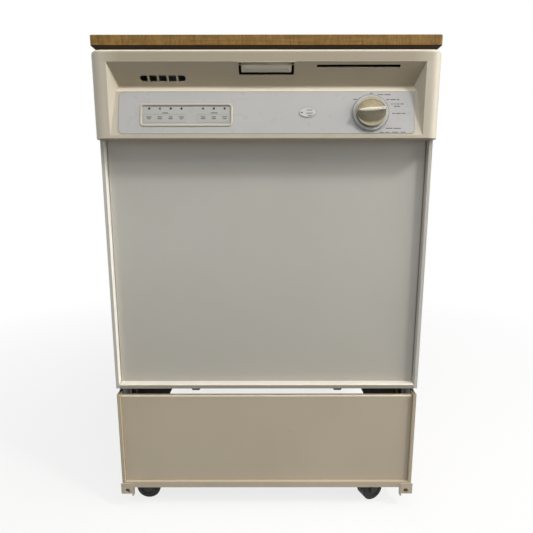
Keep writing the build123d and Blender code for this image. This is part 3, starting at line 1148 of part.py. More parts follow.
# Latch housing behind the scoop: two cheeks, a back and the ears that carry the hook
HOOK_AXIS = (6.0, TUB_ROOF + 8.5)
HOUSING_BACK = 14.0
HOUSING_TOP = CONSOLE_TOP - CONSOLE_WALL - 1.5
with BuildPart() as latch_housing:
    for side in (-1, 1):
        with BuildSketch(across(side * (PADDLE_WIDTH / 2 + PADDLE_GAP + 1))):
            with BuildLine():
                Polyline(on_scoop(PADDLE_DOWN, CONSOLE_WALL), on_scoop(PADDLE_DOWN + 32, CONSOLE_WALL),
                         (HOUSING_BACK, on_scoop(PADDLE_DOWN + 32, CONSOLE_WALL)[1]),
                         (HOUSING_BACK, HOUSING_TOP),
                         (on_scoop(PADDLE_DOWN, CONSOLE_WALL)[0] + 8, HOUSING_TOP), close=True)
            make_face()
            with Locations(PADDLE_AXIS):
                Circle(LATCH_PIN_DIAMETER / 2 + RUNNING_FIT, mode=Mode.SUBTRACT)
        extrude(amount=side * 3.0)
        with BuildSketch(across(side * (HOOK_WIDTH / 2 + 0.5))):
            with Locations((HOUSING_BACK - 8, HOOK_AXIS[1])):
                Rectangle(14, 8)
            with Locations(HOOK_AXIS):
                Circle(LATCH_PIN_DIAMETER / 2 + RUNNING_FIT, mode=Mode.SUBTRACT)
        extrude(amount=side * 3.0)
    housing_half = PADDLE_WIDTH / 2 + PADDLE_GAP + 4
    plate((-housing_half, housing_half), (HOUSING_BACK - 2, HOUSING_BACK),
          (on_scoop(PADDLE_DOWN + 32, CONSOLE_WALL)[1], HOUSING_TOP))
    plate((-HOOK_WIDTH / 2 - 0.5, HOOK_WIDTH / 2 + 0.5), (HOUSING_BACK - 3, HOUSING_BACK + 1),
          (HOOK_AXIS[1] - 4.5, HOUSING_TOP + 1), mode=Mode.SUBTRACT)

# Keeper on the tub's roof, and the hook that reaches over it
KEEPER_DEPTH = TUB_FRONT + TUB_WALL
KEEPER_TOP = TUB_ROOF + TUB_WALL + 4.0
with BuildPart() as latch_keeper:
    with BuildSketch(across(-KEEPER_WIDTH / 2)):
        with BuildLine():
            Polyline((KEEPER_DEPTH, KEEPER_TOP), (KEEPER_DEPTH + 2, KEEPER_TOP),
                     (KEEPER_DEPTH + 2, TUB_ROOF + TUB_WALL + 1.5),
                     (KEEPER_DEPTH + 16, TUB_ROOF + TUB_WALL + 1.5),
                     (KEEPER_DEPTH + 16, TUB_ROOF + TUB_WALL),
                     (KEEPER_DEPTH, TUB_ROOF + TUB_WALL), close=True)
        make_face()
    extrude(amount=KEEPER_WIDTH)
with BuildPart() as latch_hook:
    with BuildSketch(across(-HOOK_WIDTH / 2)):
        with BuildLine():
            Polyline((HOOK_AXIS[0] - 8, HOOK_AXIS[1] - 2.5), (HOOK_AXIS[0] + 6, HOOK_AXIS[1] - 2.5),
                     (HOOK_AXIS[0] + 12, HOOK_AXIS[1] + 1.2), (KEEPER_DEPTH + 4, HOOK_AXIS[1] + 1.2),
                     (KEEPER_DEPTH + 4, KEEPER_TOP + KEEPER_CLEARANCE),
                     (KEEPER_DEPTH + 10, KEEPER_TOP + KEEPER_CLEARANCE),
                     (KEEPER_DEPTH + 10, HOOK_AXIS[1] + 1.2 + HOOK_THICKNESS),
                     (HOOK_AXIS[0] - 8, HOOK_AXIS[1] + 2.5),
                     close=True)
        make_face()
    extrude(amount=HOOK_WIDTH)
    with BuildSketch(across(-HOOK_WIDTH / 2 - 3.5)):
        with Locations(HOOK_AXIS):
            Circle(LATCH_PIN_DIAMETER / 2)
    extrude(amount=HOOK_WIDTH + 7)

# Detergent dispenser in the liner's window, with its lid and the rinse-aid cap
CUP_X = DISPENSER_X - 36.0
CAP_X = DISPENSER_X + 44.0
LID_HALF = CUP_SIZE / 2 + 3
LID_AXIS_X = CUP_X - LID_HALF - 2.5
DISPENSER_FACE = LINER_BACK + DISPENSER_FLANGE
LID_AXIS_DEPTH = DISPENSER_FACE + 2.6
inside = Plane(origin=(0, at(DISPENSER_FACE), 0), x_dir=(1, 0, 0), z_dir=(0, -1, 0))
with BuildPart() as dispenser_body:
    with BuildSketch(inside):
        with Locations((DISPENSER_X, DISPENSER_Z)):
            RectangleRounded(DISPENSER_WIDTH, DISPENSER_HEIGHT, 6)
    extrude(amount=DISPENSER_DEPTH + DISPENSER_FLANGE)
    with BuildSketch(inside):
        with Locations((DISPENSER_X, DISPENSER_Z)):
            RectangleRounded(DISPENSER_WIDTH + 14, DISPENSER_HEIGHT + 14, 10)
    extrude(amount=DISPENSER_FLANGE)
    with BuildSketch(inside):
        with Locations((CUP_X, DISPENSER_Z)):
            RectangleRounded(CUP_SIZE, CUP_SIZE, 8)
    extrude(amount=DISPENSER_DEPTH, mode=Mode.SUBTRACT)
    for side in (-1, 1):
        with Locations((LID_AXIS_X, at(LID_AXIS_DEPTH - 0.3), DISPENSER_Z + side * (LID_HALF + 2.5))):
            Box(5, 4.6, 4)
        with Locations((LID_AXIS_X, at(LID_AXIS_DEPTH), DISPENSER_Z + side * (LID_HALF + 2.5))):
            Cylinder(1.2 + RUNNING_FIT, 5, mode=Mode.SUBTRACT)
with BuildPart() as dispenser_lid:
    with BuildSketch(inside.offset(-LID_FIT)):
        with Locations((CUP_X, DISPENSER_Z)):
            RectangleRounded(2 * LID_HALF, 2 * LID_HALF, 6)
    extrude(amount=-LID_THICKNESS)
    plate((LID_AXIS_X, CUP_X - LID_HALF + 4),
          (DISPENSER_FACE + 1.2, DISPENSER_FACE + LID_FIT + LID_THICKNESS),
          (DISPENSER_Z - LID_HALF + 7, DISPENSER_Z + LID_HALF - 7))
    with Locations((LID_AXIS_X, at(LID_AXIS_DEPTH), DISPENSER_Z)):
        Cylinder(1.8, 2 * LID_HALF)
        Cylinder(1.2, 2 * LID_HALF + 8)
with BuildPart() as rinse_aid_cap:
    with BuildSketch(inside.offset(-LID_FIT)):
        with Locations((CAP_X, DISPENSER_Z)):
            Circle(CAP_DIAMETER / 2)
    extrude(amount=-CAP_HEIGHT)
    with BuildSketch(inside.offset(-LID_FIT - CAP_HEIGHT)):
        with Locations((CAP_X, DISPENSER_Z)):
            SlotOverall(CAP_DIAMETER - 6, 7)
    extrude(amount=-4.0)

# Water inlet valve, drain pipe and cord gland at the back
with BuildPart() as inlet_valve:
    with Locations((INLET_X, at(BACK_INSIDE - VALVE_PLATE_THICKNESS / 2), INLET_HEIGHT)):
        Box(VALVE_PLATE_WIDTH, VALVE_PLATE_THICKNESS, VALVE_PLATE_HEIGHT)
    valve_depth = BACK_INSIDE - VALVE_PLATE_THICKNESS - VALVE_DEPTH / 2
    with Locations((INLET_X, at(valve_depth), INLET_HEIGHT)):
        Box(VALVE_WIDTH, VALVE_DEPTH, VALVE_HEIGHT)
    with Locations((INLET_X, at(valve_depth), INLET_HEIGHT + (VALVE_HEIGHT + SOLENOID_HEIGHT) / 2)):
        Cylinder(SOLENOID_DIAMETER / 2, SOLENOID_HEIGHT)
    with Locations(Location((INLET_X, at(BACK_INSIDE + (SHEET + PORT_REACH) / 2), INLET_HEIGHT), (90, 0, 0))):
        Cylinder(INLET_DIAMETER / 2, SHEET + PORT_REACH)
        Cylinder(INLET_DIAMETER / 2 - INLET_WALL, SHEET + PORT_REACH, mode=Mode.SUBTRACT)
with BuildPart() as drain_pipe:
    pipe_start = TUB_CENTRE + OUTLET_LENGTH
    with BuildLine(level(DRAIN_HEIGHT)) as pipe_run:
        FilletPolyline((OUTLET_X, pipe_start), (OUTLET_X, pipe_start + DRAIN_RUN),
                       (DRAIN_X, pipe_start + DRAIN_RUN + DRAIN_SLANT),
                       (DRAIN_X, CABINET_DEPTH + PORT_REACH), radius=DRAIN_BEND)
    with BuildSketch(pipe_run.line ^ 0):
        Circle(HOSE_DIAMETER / 2)
        Circle(HOSE_DIAMETER / 2 - HOSE_WALL, mode=Mode.SUBTRACT)
    sweep()
with BuildPart() as cord_gland:
    with BuildSketch(upright(CABINET_DEPTH)):
        with Locations((GLAND_X, GLAND_HEIGHT)):
            Circle(GLAND_DIAMETER / 2 - 0.1)
            Circle(GLAND_BORE / 2, mode=Mode.SUBTRACT)
    extrude(amount=SHEET + GLAND_COLLAR + 2)
    with BuildSketch(upright(CABINET_DEPTH)):
        with Locations((GLAND_X, GLAND_HEIGHT)):
            Circle(GLAND_DIAMETER / 2 + GLAND_COLLAR)
            Circle(GLAND_BORE / 2, mode=Mode.SUBTRACT)
    extrude(amount=-GLAND_COLLAR)

# Screws that hold the back panel to the side flanges
SCREW_X = CABINET_WIDTH / 2 - SCREW_INSET
SCREW_PITCH = (CABINET_TOP - BASE_TOP - 2 * SCREW_MARGIN) / (SCREWS_A_SIDE - 1)
cabinet_screws = []
for side in (-1, 1):
    for step in range(SCREWS_A_SIDE):
        with BuildPart() as screw:
            with BuildSketch(upright(CABINET_DEPTH)):
                with Locations((side * SCREW_X, BASE_TOP + SCREW_MARGIN + SCREW_PITCH * step)):
                    Circle(SCREW_DIAMETER / 2)
            extrude(amount=-SCREW_HEAD, taper=15)
        cabinet_screws.append(screw.part)

pieces = {
    "worktop": worktop.part,
    "cabinet_side_left": side_left.part,
    "cabinet_side_right": side_right,
    "cabinet_back": cabinet_back.part,
    "base_side_left": base_left.part,
    "base_side_right": base_right,
    "base_front_rail": base_front_rail.part,
    "base_rear_rail": base_rear_rail.part,
    "lower_access_panel": lower_panel.part,
    "corner_bracket_left": foot_bracket_left.part,
    "corner_bracket_right": foot_bracket_right,
    "caster_mounts": group(*caster_mounts),
    "caster_fork_left": front_forks[0],
    "caster_fork_right": front_forks[1],
    "caster_wheel_front_left": front_wheels[0],
    "caster_wheel_front_right": front_wheels[1],
    "caster_wheel_rear_left": rear_wheels[0],
    "caster_wheel_rear_right": rear_wheels[1],
    "tub": tub.part,
    "tub_gasket": tub_gasket.part,
    "latch_keeper": latch_keeper.part,
    "sump": sump.part,
    "wash_pump": wash_pump.part,
    "pump_motor": pump_motor.part,
    "heating_element": heating_element.part,
    "feed_tube": feed_tube.part,
    "inlet_valve": inlet_valve.part,
    "drain_pipe": drain_pipe.part,
    "cord_gland": cord_gland.part,
    "cabinet_screws": group(*cabinet_screws),
    "hinge_brackets": group(hinge_bracket_left.part, hinge_bracket_right),
    "door_springs": group(*door_springs),
    "rack_tracks": group(*tracks),
    "lower_spray_arm": lower_spray_arm,
    "upper_spray_arm": upper_spray_arm,
    "overfill_float": overfill_float.part,
    "lower_rack": group(*lower_panels, *hangers, *tines),
    "rack_rollers_front": group(*rollers(ROLLER_DEPTHS[0])),
    "rack_rollers_rear": group(*rollers(ROLLER_DEPTHS[1])),
    "silverware_basket": silverware_basket.part,
    "upper_rack": group(*upper_panels, *runners),
    "door_outer_panel": door_panel.part,
    "door_bottom_trim": door_trim.part,
    "door_liner": door_liner.part,
    "hinge_arms": group(hinge_arm_left.part, hinge_arm_right),
    "console": console.part,
    "control_insert": control_insert.part,
    "keypad_bezel": keypad_bezel.part,
    "keypad_film": keypad_film.part,
    "indicator_lenses": group(*indicator_lenses),
    "cycle_timer": cycle_timer.part,
    "timer_shaft": timer_shaft.part,
    "timer_dial": timer_dial.part,
    "timer_knob": timer_knob.part,
    "latch_paddle": latch_paddle.part,
    "latch_housing": latch_housing.part,
    "latch_hook": latch_hook.part,
    "dispenser_body": dispenser_body.part,
    "dispenser_lid": dispenser_lid.part,
    "rinse_aid_cap": rinse_aid_cap.part,
}
os.makedirs("parts", exist_ok=True)
for name, shape in pieces.items():
    shape.label = name
    export_step(shape, f"parts/{name}.step")
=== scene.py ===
"""The looks of a portable dishwasher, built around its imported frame. Lengths are in metres."""
import json
import math

import bmesh
import bpy
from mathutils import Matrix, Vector


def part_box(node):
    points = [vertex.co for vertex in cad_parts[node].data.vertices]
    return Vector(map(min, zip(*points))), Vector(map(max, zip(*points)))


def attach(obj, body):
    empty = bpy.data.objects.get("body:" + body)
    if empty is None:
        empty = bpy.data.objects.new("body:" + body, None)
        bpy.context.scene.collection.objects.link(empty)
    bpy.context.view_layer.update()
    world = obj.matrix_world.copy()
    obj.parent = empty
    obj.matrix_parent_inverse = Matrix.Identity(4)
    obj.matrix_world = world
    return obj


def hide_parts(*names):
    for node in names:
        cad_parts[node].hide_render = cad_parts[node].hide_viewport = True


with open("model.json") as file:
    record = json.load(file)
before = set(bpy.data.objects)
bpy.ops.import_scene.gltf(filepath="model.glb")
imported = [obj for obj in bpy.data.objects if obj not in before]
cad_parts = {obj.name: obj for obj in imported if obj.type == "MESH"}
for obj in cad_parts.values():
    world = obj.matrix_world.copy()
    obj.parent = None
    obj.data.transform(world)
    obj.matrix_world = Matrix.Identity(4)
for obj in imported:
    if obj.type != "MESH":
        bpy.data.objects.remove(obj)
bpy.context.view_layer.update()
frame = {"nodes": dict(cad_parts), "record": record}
nodes = frame["nodes"]
scene = bpy.context.scene


# Materials: each is a small graph of noise, grain or wear in the piece's own coordinates; some also paint
# highlight or shade by facing or height, as marked

PAINT_IOR = 1.46


class Look:
    """One procedural material, with the node calls that its graph needs."""

    def __init__(self, name, roughness=0.5, metallic=0.0, coat=0.0, coat_roughness=0.1):
        self.material = bpy.data.materials.new(name)
        self.material.use_nodes = True
        self.tree = self.material.node_tree
        self.tree.nodes.clear()
        out = self.node("ShaderNodeOutputMaterial")
        self.shader = self.node("ShaderNodeBsdfPrincipled")
        self.tree.links.new(self.shader.outputs["BSDF"], out.inputs["Surface"])
        self.shader.inputs["Roughness"].default_value = roughness
        self.shader.inputs["Metallic"].default_value = metallic
        self.shader.inputs["Coat Weight"].default_value = coat
        self.shader.inputs["Coat Roughness"].default_value = coat_roughness
        self.shader.inputs["IOR"].default_value = PAINT_IOR
        self.place = self.node("ShaderNodeTexCoord").outputs["Object"]

    def node(self, kind, **settings):
        made = self.tree.nodes.new(kind)
        for key, value in settings.items():
            setattr(made, key, value)
        return made

    def put(self, socket, value):
        if isinstance(value, bpy.types.NodeSocket):
            self.tree.links.new(value, socket)
        elif isinstance(value, (tuple, list)) and len(value) == 3 and socket.type == "RGBA":
            socket.default_value = (*value, 1.0)
        else:
            socket.default_value = value

    def stretched(self, scale):
        moved = self.node("ShaderNodeMapping")
        self.put(moved.inputs["Vector"], self.place)
        moved.inputs["Scale"].default_value = scale
        return moved.outputs["Vector"]

    def noise(self, scale, detail=3.0, roughness=0.55, stretch=None, distortion=0.0):
        made = self.node("ShaderNodeTexNoise")
        self.put(made.inputs["Vector"], self.stretched(stretch) if stretch else self.place)
        made.inputs["Scale"].default_value = scale
        made.inputs["Detail"].default_value = detail
        made.inputs["Roughness"].default_value = roughness
        made.inputs["Distortion"].default_value = distortion
        return made.outputs["Fac"]

    def specks(self, scale, size):
        """1 in small scattered spots and 0 elsewhere."""
        made = self.node("ShaderNodeTexVoronoi", feature="F1")
        self.put(made.inputs["Vector"], self.place)
        made.inputs["Scale"].default_value = scale
        return self.band(made.outputs["Distance"], size, size * 0.6)

    def band(self, value, low, high, out_low=0.0, out_high=1.0):
        made = self.node("ShaderNodeMapRange")
        self.put(made.inputs["Value"], value)
        made.inputs["From Min"].default_value = low
        made.inputs["From Max"].default_value = high
        made.inputs["To Min"].default_value = out_low
        made.inputs["To Max"].default_value = out_high
        return made.outputs["Result"]

    def math(self, operation, a, b=0.0):
        made = self.node("ShaderNodeMath", operation=operation)
        self.put(made.inputs[0], a)
        self.put(made.inputs[1], b)
        return made.outputs[0]

    def mix(self, share, a, b):
        made = self.node("ShaderNodeMix", data_type="RGBA")
        self.put(made.inputs[0], share)
        self.put(made.inputs[6], a)
        self.put(made.inputs[7], b)
        return made.outputs[2]

    def axis(self, name):
        made = self.node("ShaderNodeSeparateXYZ")
        self.put(made.inputs[0], self.place)
        return made.outputs[name]

    def facing(self, name):
        """A component of the surface's own normal."""
        made = self.node("ShaderNodeSeparateXYZ")
        self.put(made.inputs[0], self.node("ShaderNodeNewGeometry").outputs["Normal"])
        return made.outputs[name]

    def convex_edges(self):
        """1 along convex edges and 0 on flat ground."""
        return self.band(self.node("ShaderNodeNewGeometry").outputs["Pointiness"], 0.5, 0.62)

    def darkened(self, base, dirt, start, end, share, fade=None):
        """A share of the dirt colour that grows between two heights and may fade to the sides: painted shade
        on the console.
        """
        amount = self.band(self.axis("Z"), start, end, 0.0, share)
        if fade:
            side = self.band(self.math("ABSOLUTE", self.axis("X")), *fade, 1.0, 0.0)
            amount = self.math("MULTIPLY", amount, side)
        return self.mix(amount, base, dirt)

    def colour(self, value):
        self.put(self.shader.inputs["Base Color"], value)

    def rough(self, value):
        self.put(self.shader.inputs["Roughness"], value)

    def bump(self, height, strength, distance):
        made = self.node("ShaderNodeBump")
        self.put(made.inputs["Height"], height)
        made.inputs["Strength"].default_value = strength
        made.inputs["Distance"].default_value = distance
        self.put(self.shader.inputs["Normal"], made.outputs["Normal"])


def tint(colour, by):
    return tuple(min(1.0, c * by) for c in colour)


def enamel(name, colour, dirt, roughness=0.32, dust=0.25, chips=0.0, peel=0.12, fold_highlight=0.0, darkening=None,
           coat=0.25, hem_highlight=0.0):
    """Baked enamel on sheet steel: orange peel, cloudy wear, dust, a few chips, and folds or hems paler as
    painted highlight.
    """
    look = Look(name, roughness, coat=coat, coat_roughness=0.25)
    cloud = look.noise(3.2, 4.0, 0.6)
    fine = look.noise(46.0, 5.0, 0.65)
    base = look.mix(look.band(cloud, 0.38, 0.66), tint(colour, 0.975), tint(colour, 1.025))
    smear = look.band(look.noise(6.0, 3.0, 0.5, stretch=(1.0, 1.0, 0.45), distortion=0.3), 0.42, 0.75)
    base = look.mix(look.math("MULTIPLY", smear, dust), base, dirt)
    if chips:
        spot = look.math("MULTIPLY", look.specks(17.0, 0.024), look.band(cloud, 0.5, 0.54))
        base = look.mix(look.math("MULTIPLY", spot, chips), base, tint(dirt, 0.5))
    # A height band of the dirt colour: on the door, darker towards the bottom.
    if darkening:
        base = look.darkened(base, dirt, *darkening)
    # Up- and left-facing folds paler: painted highlight.
    if fold_highlight:
        turned = look.math("MAXIMUM", look.facing("Z"), look.math("MULTIPLY", look.facing("X"), -1.0))
        base = look.mix(look.band(turned, 0.15, 0.45, 0.0, fold_highlight), base, tint(colour, 1.6))
    # The hem's inner edge, which faces right, paler: painted highlight.
    if hem_highlight:
        front = look.math("LESS_THAN", look.axis("Y"), SIDE_HEM)
        turned = look.band(look.facing("X"), 0.5, 0.9, 0.0, hem_highlight)
        base = look.mix(look.math("MULTIPLY", front, turned), base, tint(colour, 1.7))
    look.colour(base)
    look.rough(look.band(fine, 0.2, 0.8, roughness - 0.01, roughness + 0.05))
    look.bump(look.noise(900.0, 2.0, 0.5), peel, 0.0002)
    return look.material


def moulded(name, colour, dirt, roughness=0.42, grain=0.2, dust=0.35, size=1800.0, edge_wear_and_highlight=0.0, coat=0.0,
            upper=1.0, underside_shade=1.0, darkening=None):
    """Injection-moulded plastic: a fine spark-eroded grain, some yellowing and grime, with optional painted
    highlight on upward faces and painted shade on downward ones.
    """
    look = Look(name, roughness, coat=coat)
    cloud = look.noise(5.0, 5.0, 0.62)
    base = look.mix(look.band(cloud, 0.36, 0.68), tint(colour, 0.96), tint(colour, 1.03))
    grime = look.band(look.noise(26.0, 6.0, 0.72, distortion=0.8), 0.54, 0.8)
    base = look.mix(look.math("MULTIPLY", grime, dust), base, dirt)
    # Convex edges paler: rubbed wear, and on the knob a painted highlight.
    if edge_wear_and_highlight:
        base = look.mix(look.math("MULTIPLY", look.convex_edges(), edge_wear_and_highlight), base, tint(colour, 1.18))
    # A height band of the dirt colour: on the console, painted shade under the worktop.
    if darkening:
        base = look.darkened(base, dirt, *darkening)
    # Upward faces paler: painted highlight.
    if upper != 1.0:
        base = look.mix(look.band(look.facing("Z"), 0.42, 0.62), base, tint(colour, upper))
    # Downward faces darker in the dirt colour: painted shade.
    if underside_shade != 1.0:
        base = look.mix(look.band(look.facing("Z"), -0.08, -0.22), base, tint(dirt, underside_shade))
    look.colour(base)
    look.rough(look.band(look.noise(60.0, 4.0, 0.6), 0.3, 0.7, roughness - 0.06, roughness + 0.1))
    look.bump(look.noise(size, 2.0, 0.5), grain, 0.00015)
    return look.material


def metal(name, colour, roughness, stretch, scale, darkening):
    """Plated or brushed steel: fine lines along one way, duller patches and dark stains."""
    look = Look(name, roughness, 1.0)
    lines = look.noise(scale, 4.0, 0.6, stretch=stretch)
    patch = look.noise(12.0, 5.0, 0.65)
    base = look.mix(look.band(lines, 0.3, 0.7), tint(colour, 0.86), tint(colour, 1.08))
    look.colour(look.mix(look.band(patch, 0.55, 0.8, 0.0, 0.6), base, darkening))
    look.rough(look.band(patch, 0.3, 0.7, roughness - 0.08, roughness + 0.14))
    look.bump(lines, 0.12, 0.0002)
    return look.material


def spangled(name, colour, roughness):
    """Galvanised sheet: the crystal patches of its zinc."""
    look = Look(name, roughness, 1.0)
    cells = look.node("ShaderNodeTexVoronoi", feature="F1")
    look.put(cells.inputs["Vector"], look.place)
    cells.inputs["Scale"].default_value = 70.0
    shade = look.node("ShaderNodeSeparateColor")
    look.put(shade.inputs[0], cells.outputs["Color"])
    base = look.mix(shade.outputs[0], tint(colour, 0.84), tint(colour, 1.1))
    dull = look.band(look.noise(7.0, 5.0, 0.6), 0.5, 0.75, 0.0, 0.5)
    look.colour(look.mix(dull, base, tint(colour, 0.6)))
    look.rough(look.band(shade.outputs[1], 0.0, 1.0, roughness - 0.1, roughness + 0.12))
    look.bump(shade.outputs[2], 0.05, 0.0002)
    return look.material


def rubber(name, colour, roughness=0.75):
    look = Look(name, roughness)
    dust = look.band(look.noise(55.0, 5.0, 0.7), 0.5, 0.78, 0.0, 0.45)
    look.colour(look.mix(dust, colour, tint(colour, 3.2)))
    look.rough(look.band(look.noise(130.0, 3.0), 0.3, 0.7, roughness - 0.12, roughness + 0.12))
    look.bump(look.noise(1300.0, 3.0), 0.25, 0.0003)
    return look.material


def laminate(name):
    """Printed butcher-block laminate: narrow staves that run front to back, with pores and rays."""
    look = Look(name, 0.5)
    look.shader.inputs["Specular IOR Level"].default_value = 0.25
    staves = look.math("MULTIPLY", look.math("ADD", look.axis("X"), 1.0), STAVES_PER_METRE)
    tone = look.node("ShaderNodeTexWhiteNoise", noise_dimensions="1D")
    look.put(tone.inputs["W"], look.math("FLOOR", staves))
    upright = look.noise(330.0, 5.0, 0.6, stretch=(1.0, 0.03, 0.22), distortion=0.15)
    level = look.noise(520.0, 4.0, 0.55, stretch=(0.04, 0.04, 1.0))
    fibres = look.math("ADD", look.math("MULTIPLY", upright, 0.55), look.math("MULTIPLY", level, 0.45))
    bands = look.noise(70.0, 4.0, 0.55, stretch=(1.0, 0.06, 0.1), distortion=0.2)
    base = look.mix(tone.outputs["Value"], (0.205, 0.110, 0.026), (0.270, 0.156, 0.042))
    base = look.mix(look.band(bands, 0.34, 0.62), (0.175, 0.092, 0.022), base)
    base = look.mix(look.band(fibres, 0.44, 0.62, 0.0, 0.7), base, (0.345, 0.212, 0.062))
    pores = look.band(look.noise(700.0, 3.0, 0.6, stretch=(1.0, 0.02, 0.12)), 0.62, 0.72, 0.0, 0.65)
    base = look.mix(pores, base, (0.070, 0.036, 0.012))
    seam = look.band(look.math("PINGPONG", staves, 0.5), 0.0, 0.03, 0.55, 0.0)
    base = look.mix(seam, base, (0.085, 0.044, 0.015))
    # Downward faces near black: painted shade.
    underside_shade = look.band(look.facing("Z"), -0.25, -0.5)
    look.colour(look.mix(underside_shade, base, (0.030, 0.018, 0.010)))
    look.rough(look.band(fibres, 0.3, 0.7, 0.44, 0.6))
    look.bump(look.math("ADD", fibres, look.math("MULTIPLY", seam, -1.0)), 0.12, 0.0003)
    return look.material


def lens_look():
    """Dark indicator windows, two of them red, and the pale window of the rinse indicator."""
    look = Look("indicator_lens", 0.2)
    x = look.axis("X")
    gaps = [look.math("ABSOLUTE", look.math("SUBTRACT", x, place)) for place in RED_LENSES]
    red = look.math("MAXIMUM", *(look.math("LESS_THAN", gap, LENS_REACH) for gap in gaps))
    pale = look.math("GREATER_THAN", x, 0.0)
    cloud = look.band(look.noise(220.0, 3.0), 0.35, 0.65)
    dark = look.mix(cloud, (0.012, 0.011, 0.012), (0.026, 0.024, 0.024))
    base = look.mix(red, dark, (0.200, 0.060, 0.050))
    look.colour(look.mix(pale, base, look.mix(cloud, (0.560, 0.555, 0.535), (0.600, 0.595, 0.575))))
    look.rough(look.band(look.noise(90.0, 3.0), 0.3, 0.7, 0.16, 0.3))
    return look.material


def base_look():
    """The base's sides: enamel outside, and within a near-black colour that is painted shade."""
    look = Look("base_enamel", 0.7)
    look.shader.inputs["Specular IOR Level"].default_value = 0.03
    cloud = look.band(look.noise(3.2, 4.0, 0.6), 0.38, 0.66)
    base = look.mix(cloud, tint(ALMOND, 0.975), tint(ALMOND, 1.025))
    inside = look.math("LESS_THAN", look.math("ABSOLUTE", look.axis("X")), BASE_WALL)
    behind = look.math("GREATER_THAN", look.axis("Y"), BASE_HEM)
    patch = look.band(look.noise(30.0, 5.0, 0.7), 0.4, 0.7)
    # Near black inside the base: painted shade.
    inner_shade = look.mix(patch, (0.010, 0.009, 0.008), (0.024, 0.021, 0.018))
    look.colour(look.mix(look.math("MULTIPLY", inside, behind), base, inner_shade))
    look.rough(look.band(look.noise(46.0, 5.0, 0.65), 0.3, 0.7, 0.62, 0.8))
    look.bump(look.noise(900.0, 2.0, 0.5), 0.12, 0.0002)
    return look.material


def wheel_look(name, middle):
    """A caster wheel: an olive-grey hub inside a black rubber tyre."""
    look = Look(name, 0.6)
    far = look.node("ShaderNodeVectorMath", operation="DISTANCE")
    look.put(far.inputs[0], look.place)
    far.inputs[1].default_value = middle
    tyre = look.band(far.outputs["Value"], HUB_REACH - HUB_EDGE, HUB_REACH)
    dust = look.band(look.noise(90.0, 5.0, 0.7), 0.5, 0.8, 0.0, 0.5)
    hub = look.mix(dust, (0.034, 0.033, 0.022), (0.075, 0.070, 0.052))
    rim = look.mix(dust, (0.006, 0.006, 0.006), (0.026, 0.025, 0.023))
    look.colour(look.mix(tyre, hub, rim))
    look.rough(look.band(look.noise(160.0, 3.0), 0.3, 0.7, 0.45, 0.75))
    look.bump(look.noise(1400.0, 3.0), 0.2, 0.0003)
    return look.material


# Where a look changes within one piece. A darkening has its start and end heights, its share and where it
# fades.

STAVES_PER_METRE = 24.0
LENS_REACH = 0.004
RED_LENSES = (-0.1875, -0.1115)
HUB_REACH = 0.0198
HUB_EDGE = 0.0008
BASE_WALL = 0.3020
BASE_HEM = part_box("base_side_left")[0].y + 0.016
SIDE_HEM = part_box("cabinet_side_left")[0].y + 0.020
# The console's top band under the worktop: painted shade, fading out towards its ends.
LIP_SHADE = (0.880, 0.885, 0.75, (0.250, 0.286))
# The door panel: darker towards the bottom.
DOOR_DARKENING = (0.56, 0.30, 0.45)

# Colours, and the dirt on them; the cream's dirt colour also paints shade on the console

ALMOND, ALMOND_DIRT = (0.555, 0.478, 0.358), (0.400, 0.330, 0.230)
WHITE, WHITE_DIRT = (0.590, 0.572, 0.525), (0.450, 0.415, 0.335)
CREAM, CREAM_DIRT_AND_SHADE = (0.565, 0.510, 0.415), (0.380, 0.325, 0.235)
mats = {
    "laminated_wood": laminate("butcher_block"),
    "white_enamel": enamel("white_enamel", WHITE, WHITE_DIRT, 0.30, 0.07),
    "almond_enamel": enamel("almond_enamel", ALMOND, ALMOND_DIRT, 0.34, 0.2, 0.9),
    "almond_plastic": moulded("almond_plastic", CREAM, CREAM_DIRT_AND_SHADE, 0.42, edge_wear_and_highlight=0.3),
    "grey_plastic": moulded("grey_plastic", (0.490, 0.488, 0.480), (0.470, 0.460, 0.445), 0.30, 0.08, 0.10),
    "film": moulded("keypad_film", (0.470, 0.466, 0.448), (0.400, 0.390, 0.360), 0.32, 0.10, 0.2),
    "lens": lens_look(),
    # The knob: downward faces darker as painted shade, and its convex edges paler as painted highlight.
    "knob_plastic": moulded("knob_plastic", (0.350, 0.300, 0.185), (0.230, 0.192, 0.110), 0.24, 0.05, 0.25,
                            edge_wear_and_highlight=0.8, coat=0.6, underside_shade=0.85),
    "black_plastic": moulded("black_plastic", (0.016, 0.016, 0.016), (0.050, 0.047, 0.042), 0.48, 0.2, 0.5),
    "caster_rubber": rubber("caster_rubber", (0.010, 0.010, 0.010)),
    "zinc_steel": metal("zinc_steel", (0.50, 0.50, 0.48), 0.36, (1.0, 0.3, 1.0), 160.0, (0.22, 0.19, 0.15)),
    "tub_plastic": moulded("tub_plastic", (0.62, 0.63, 0.62), (0.46, 0.45, 0.40), 0.34, 0.12, 0.3, 700.0),
    "liner_plastic": moulded("liner_plastic", (0.66, 0.67, 0.66), (0.48, 0.47, 0.42), 0.32, 0.10, 0.3, 900.0),
    "seal_rubber": rubber("seal_rubber", (0.050, 0.050, 0.050), 0.6),
    "rack_coating": moulded("rack_coating", (0.33, 0.39, 0.47), (0.25, 0.26, 0.27), 0.38, 0.15, 0.3),
    "white_plastic": moulded("white_plastic", (0.62, 0.63, 0.62), (0.46, 0.44, 0.40), 0.40, 0.15, 0.3),
    "heater_steel": metal("heater_steel", (0.20, 0.19, 0.18), 0.42, (1.0, 1.0, 1.0), 220.0,
                          (0.10, 0.08, 0.07)),
    "motor_steel": enamel("motor_steel", (0.050, 0.050, 0.055), (0.100, 0.090, 0.080), 0.42, 0.4),
    "galvanised": spangled("galvanised", (0.55, 0.56, 0.57), 0.42),
}
ink = moulded("printed_ink", (0.060, 0.058, 0.055), (0.110, 0.106, 0.100), 0.5, 0.05, 0.6)
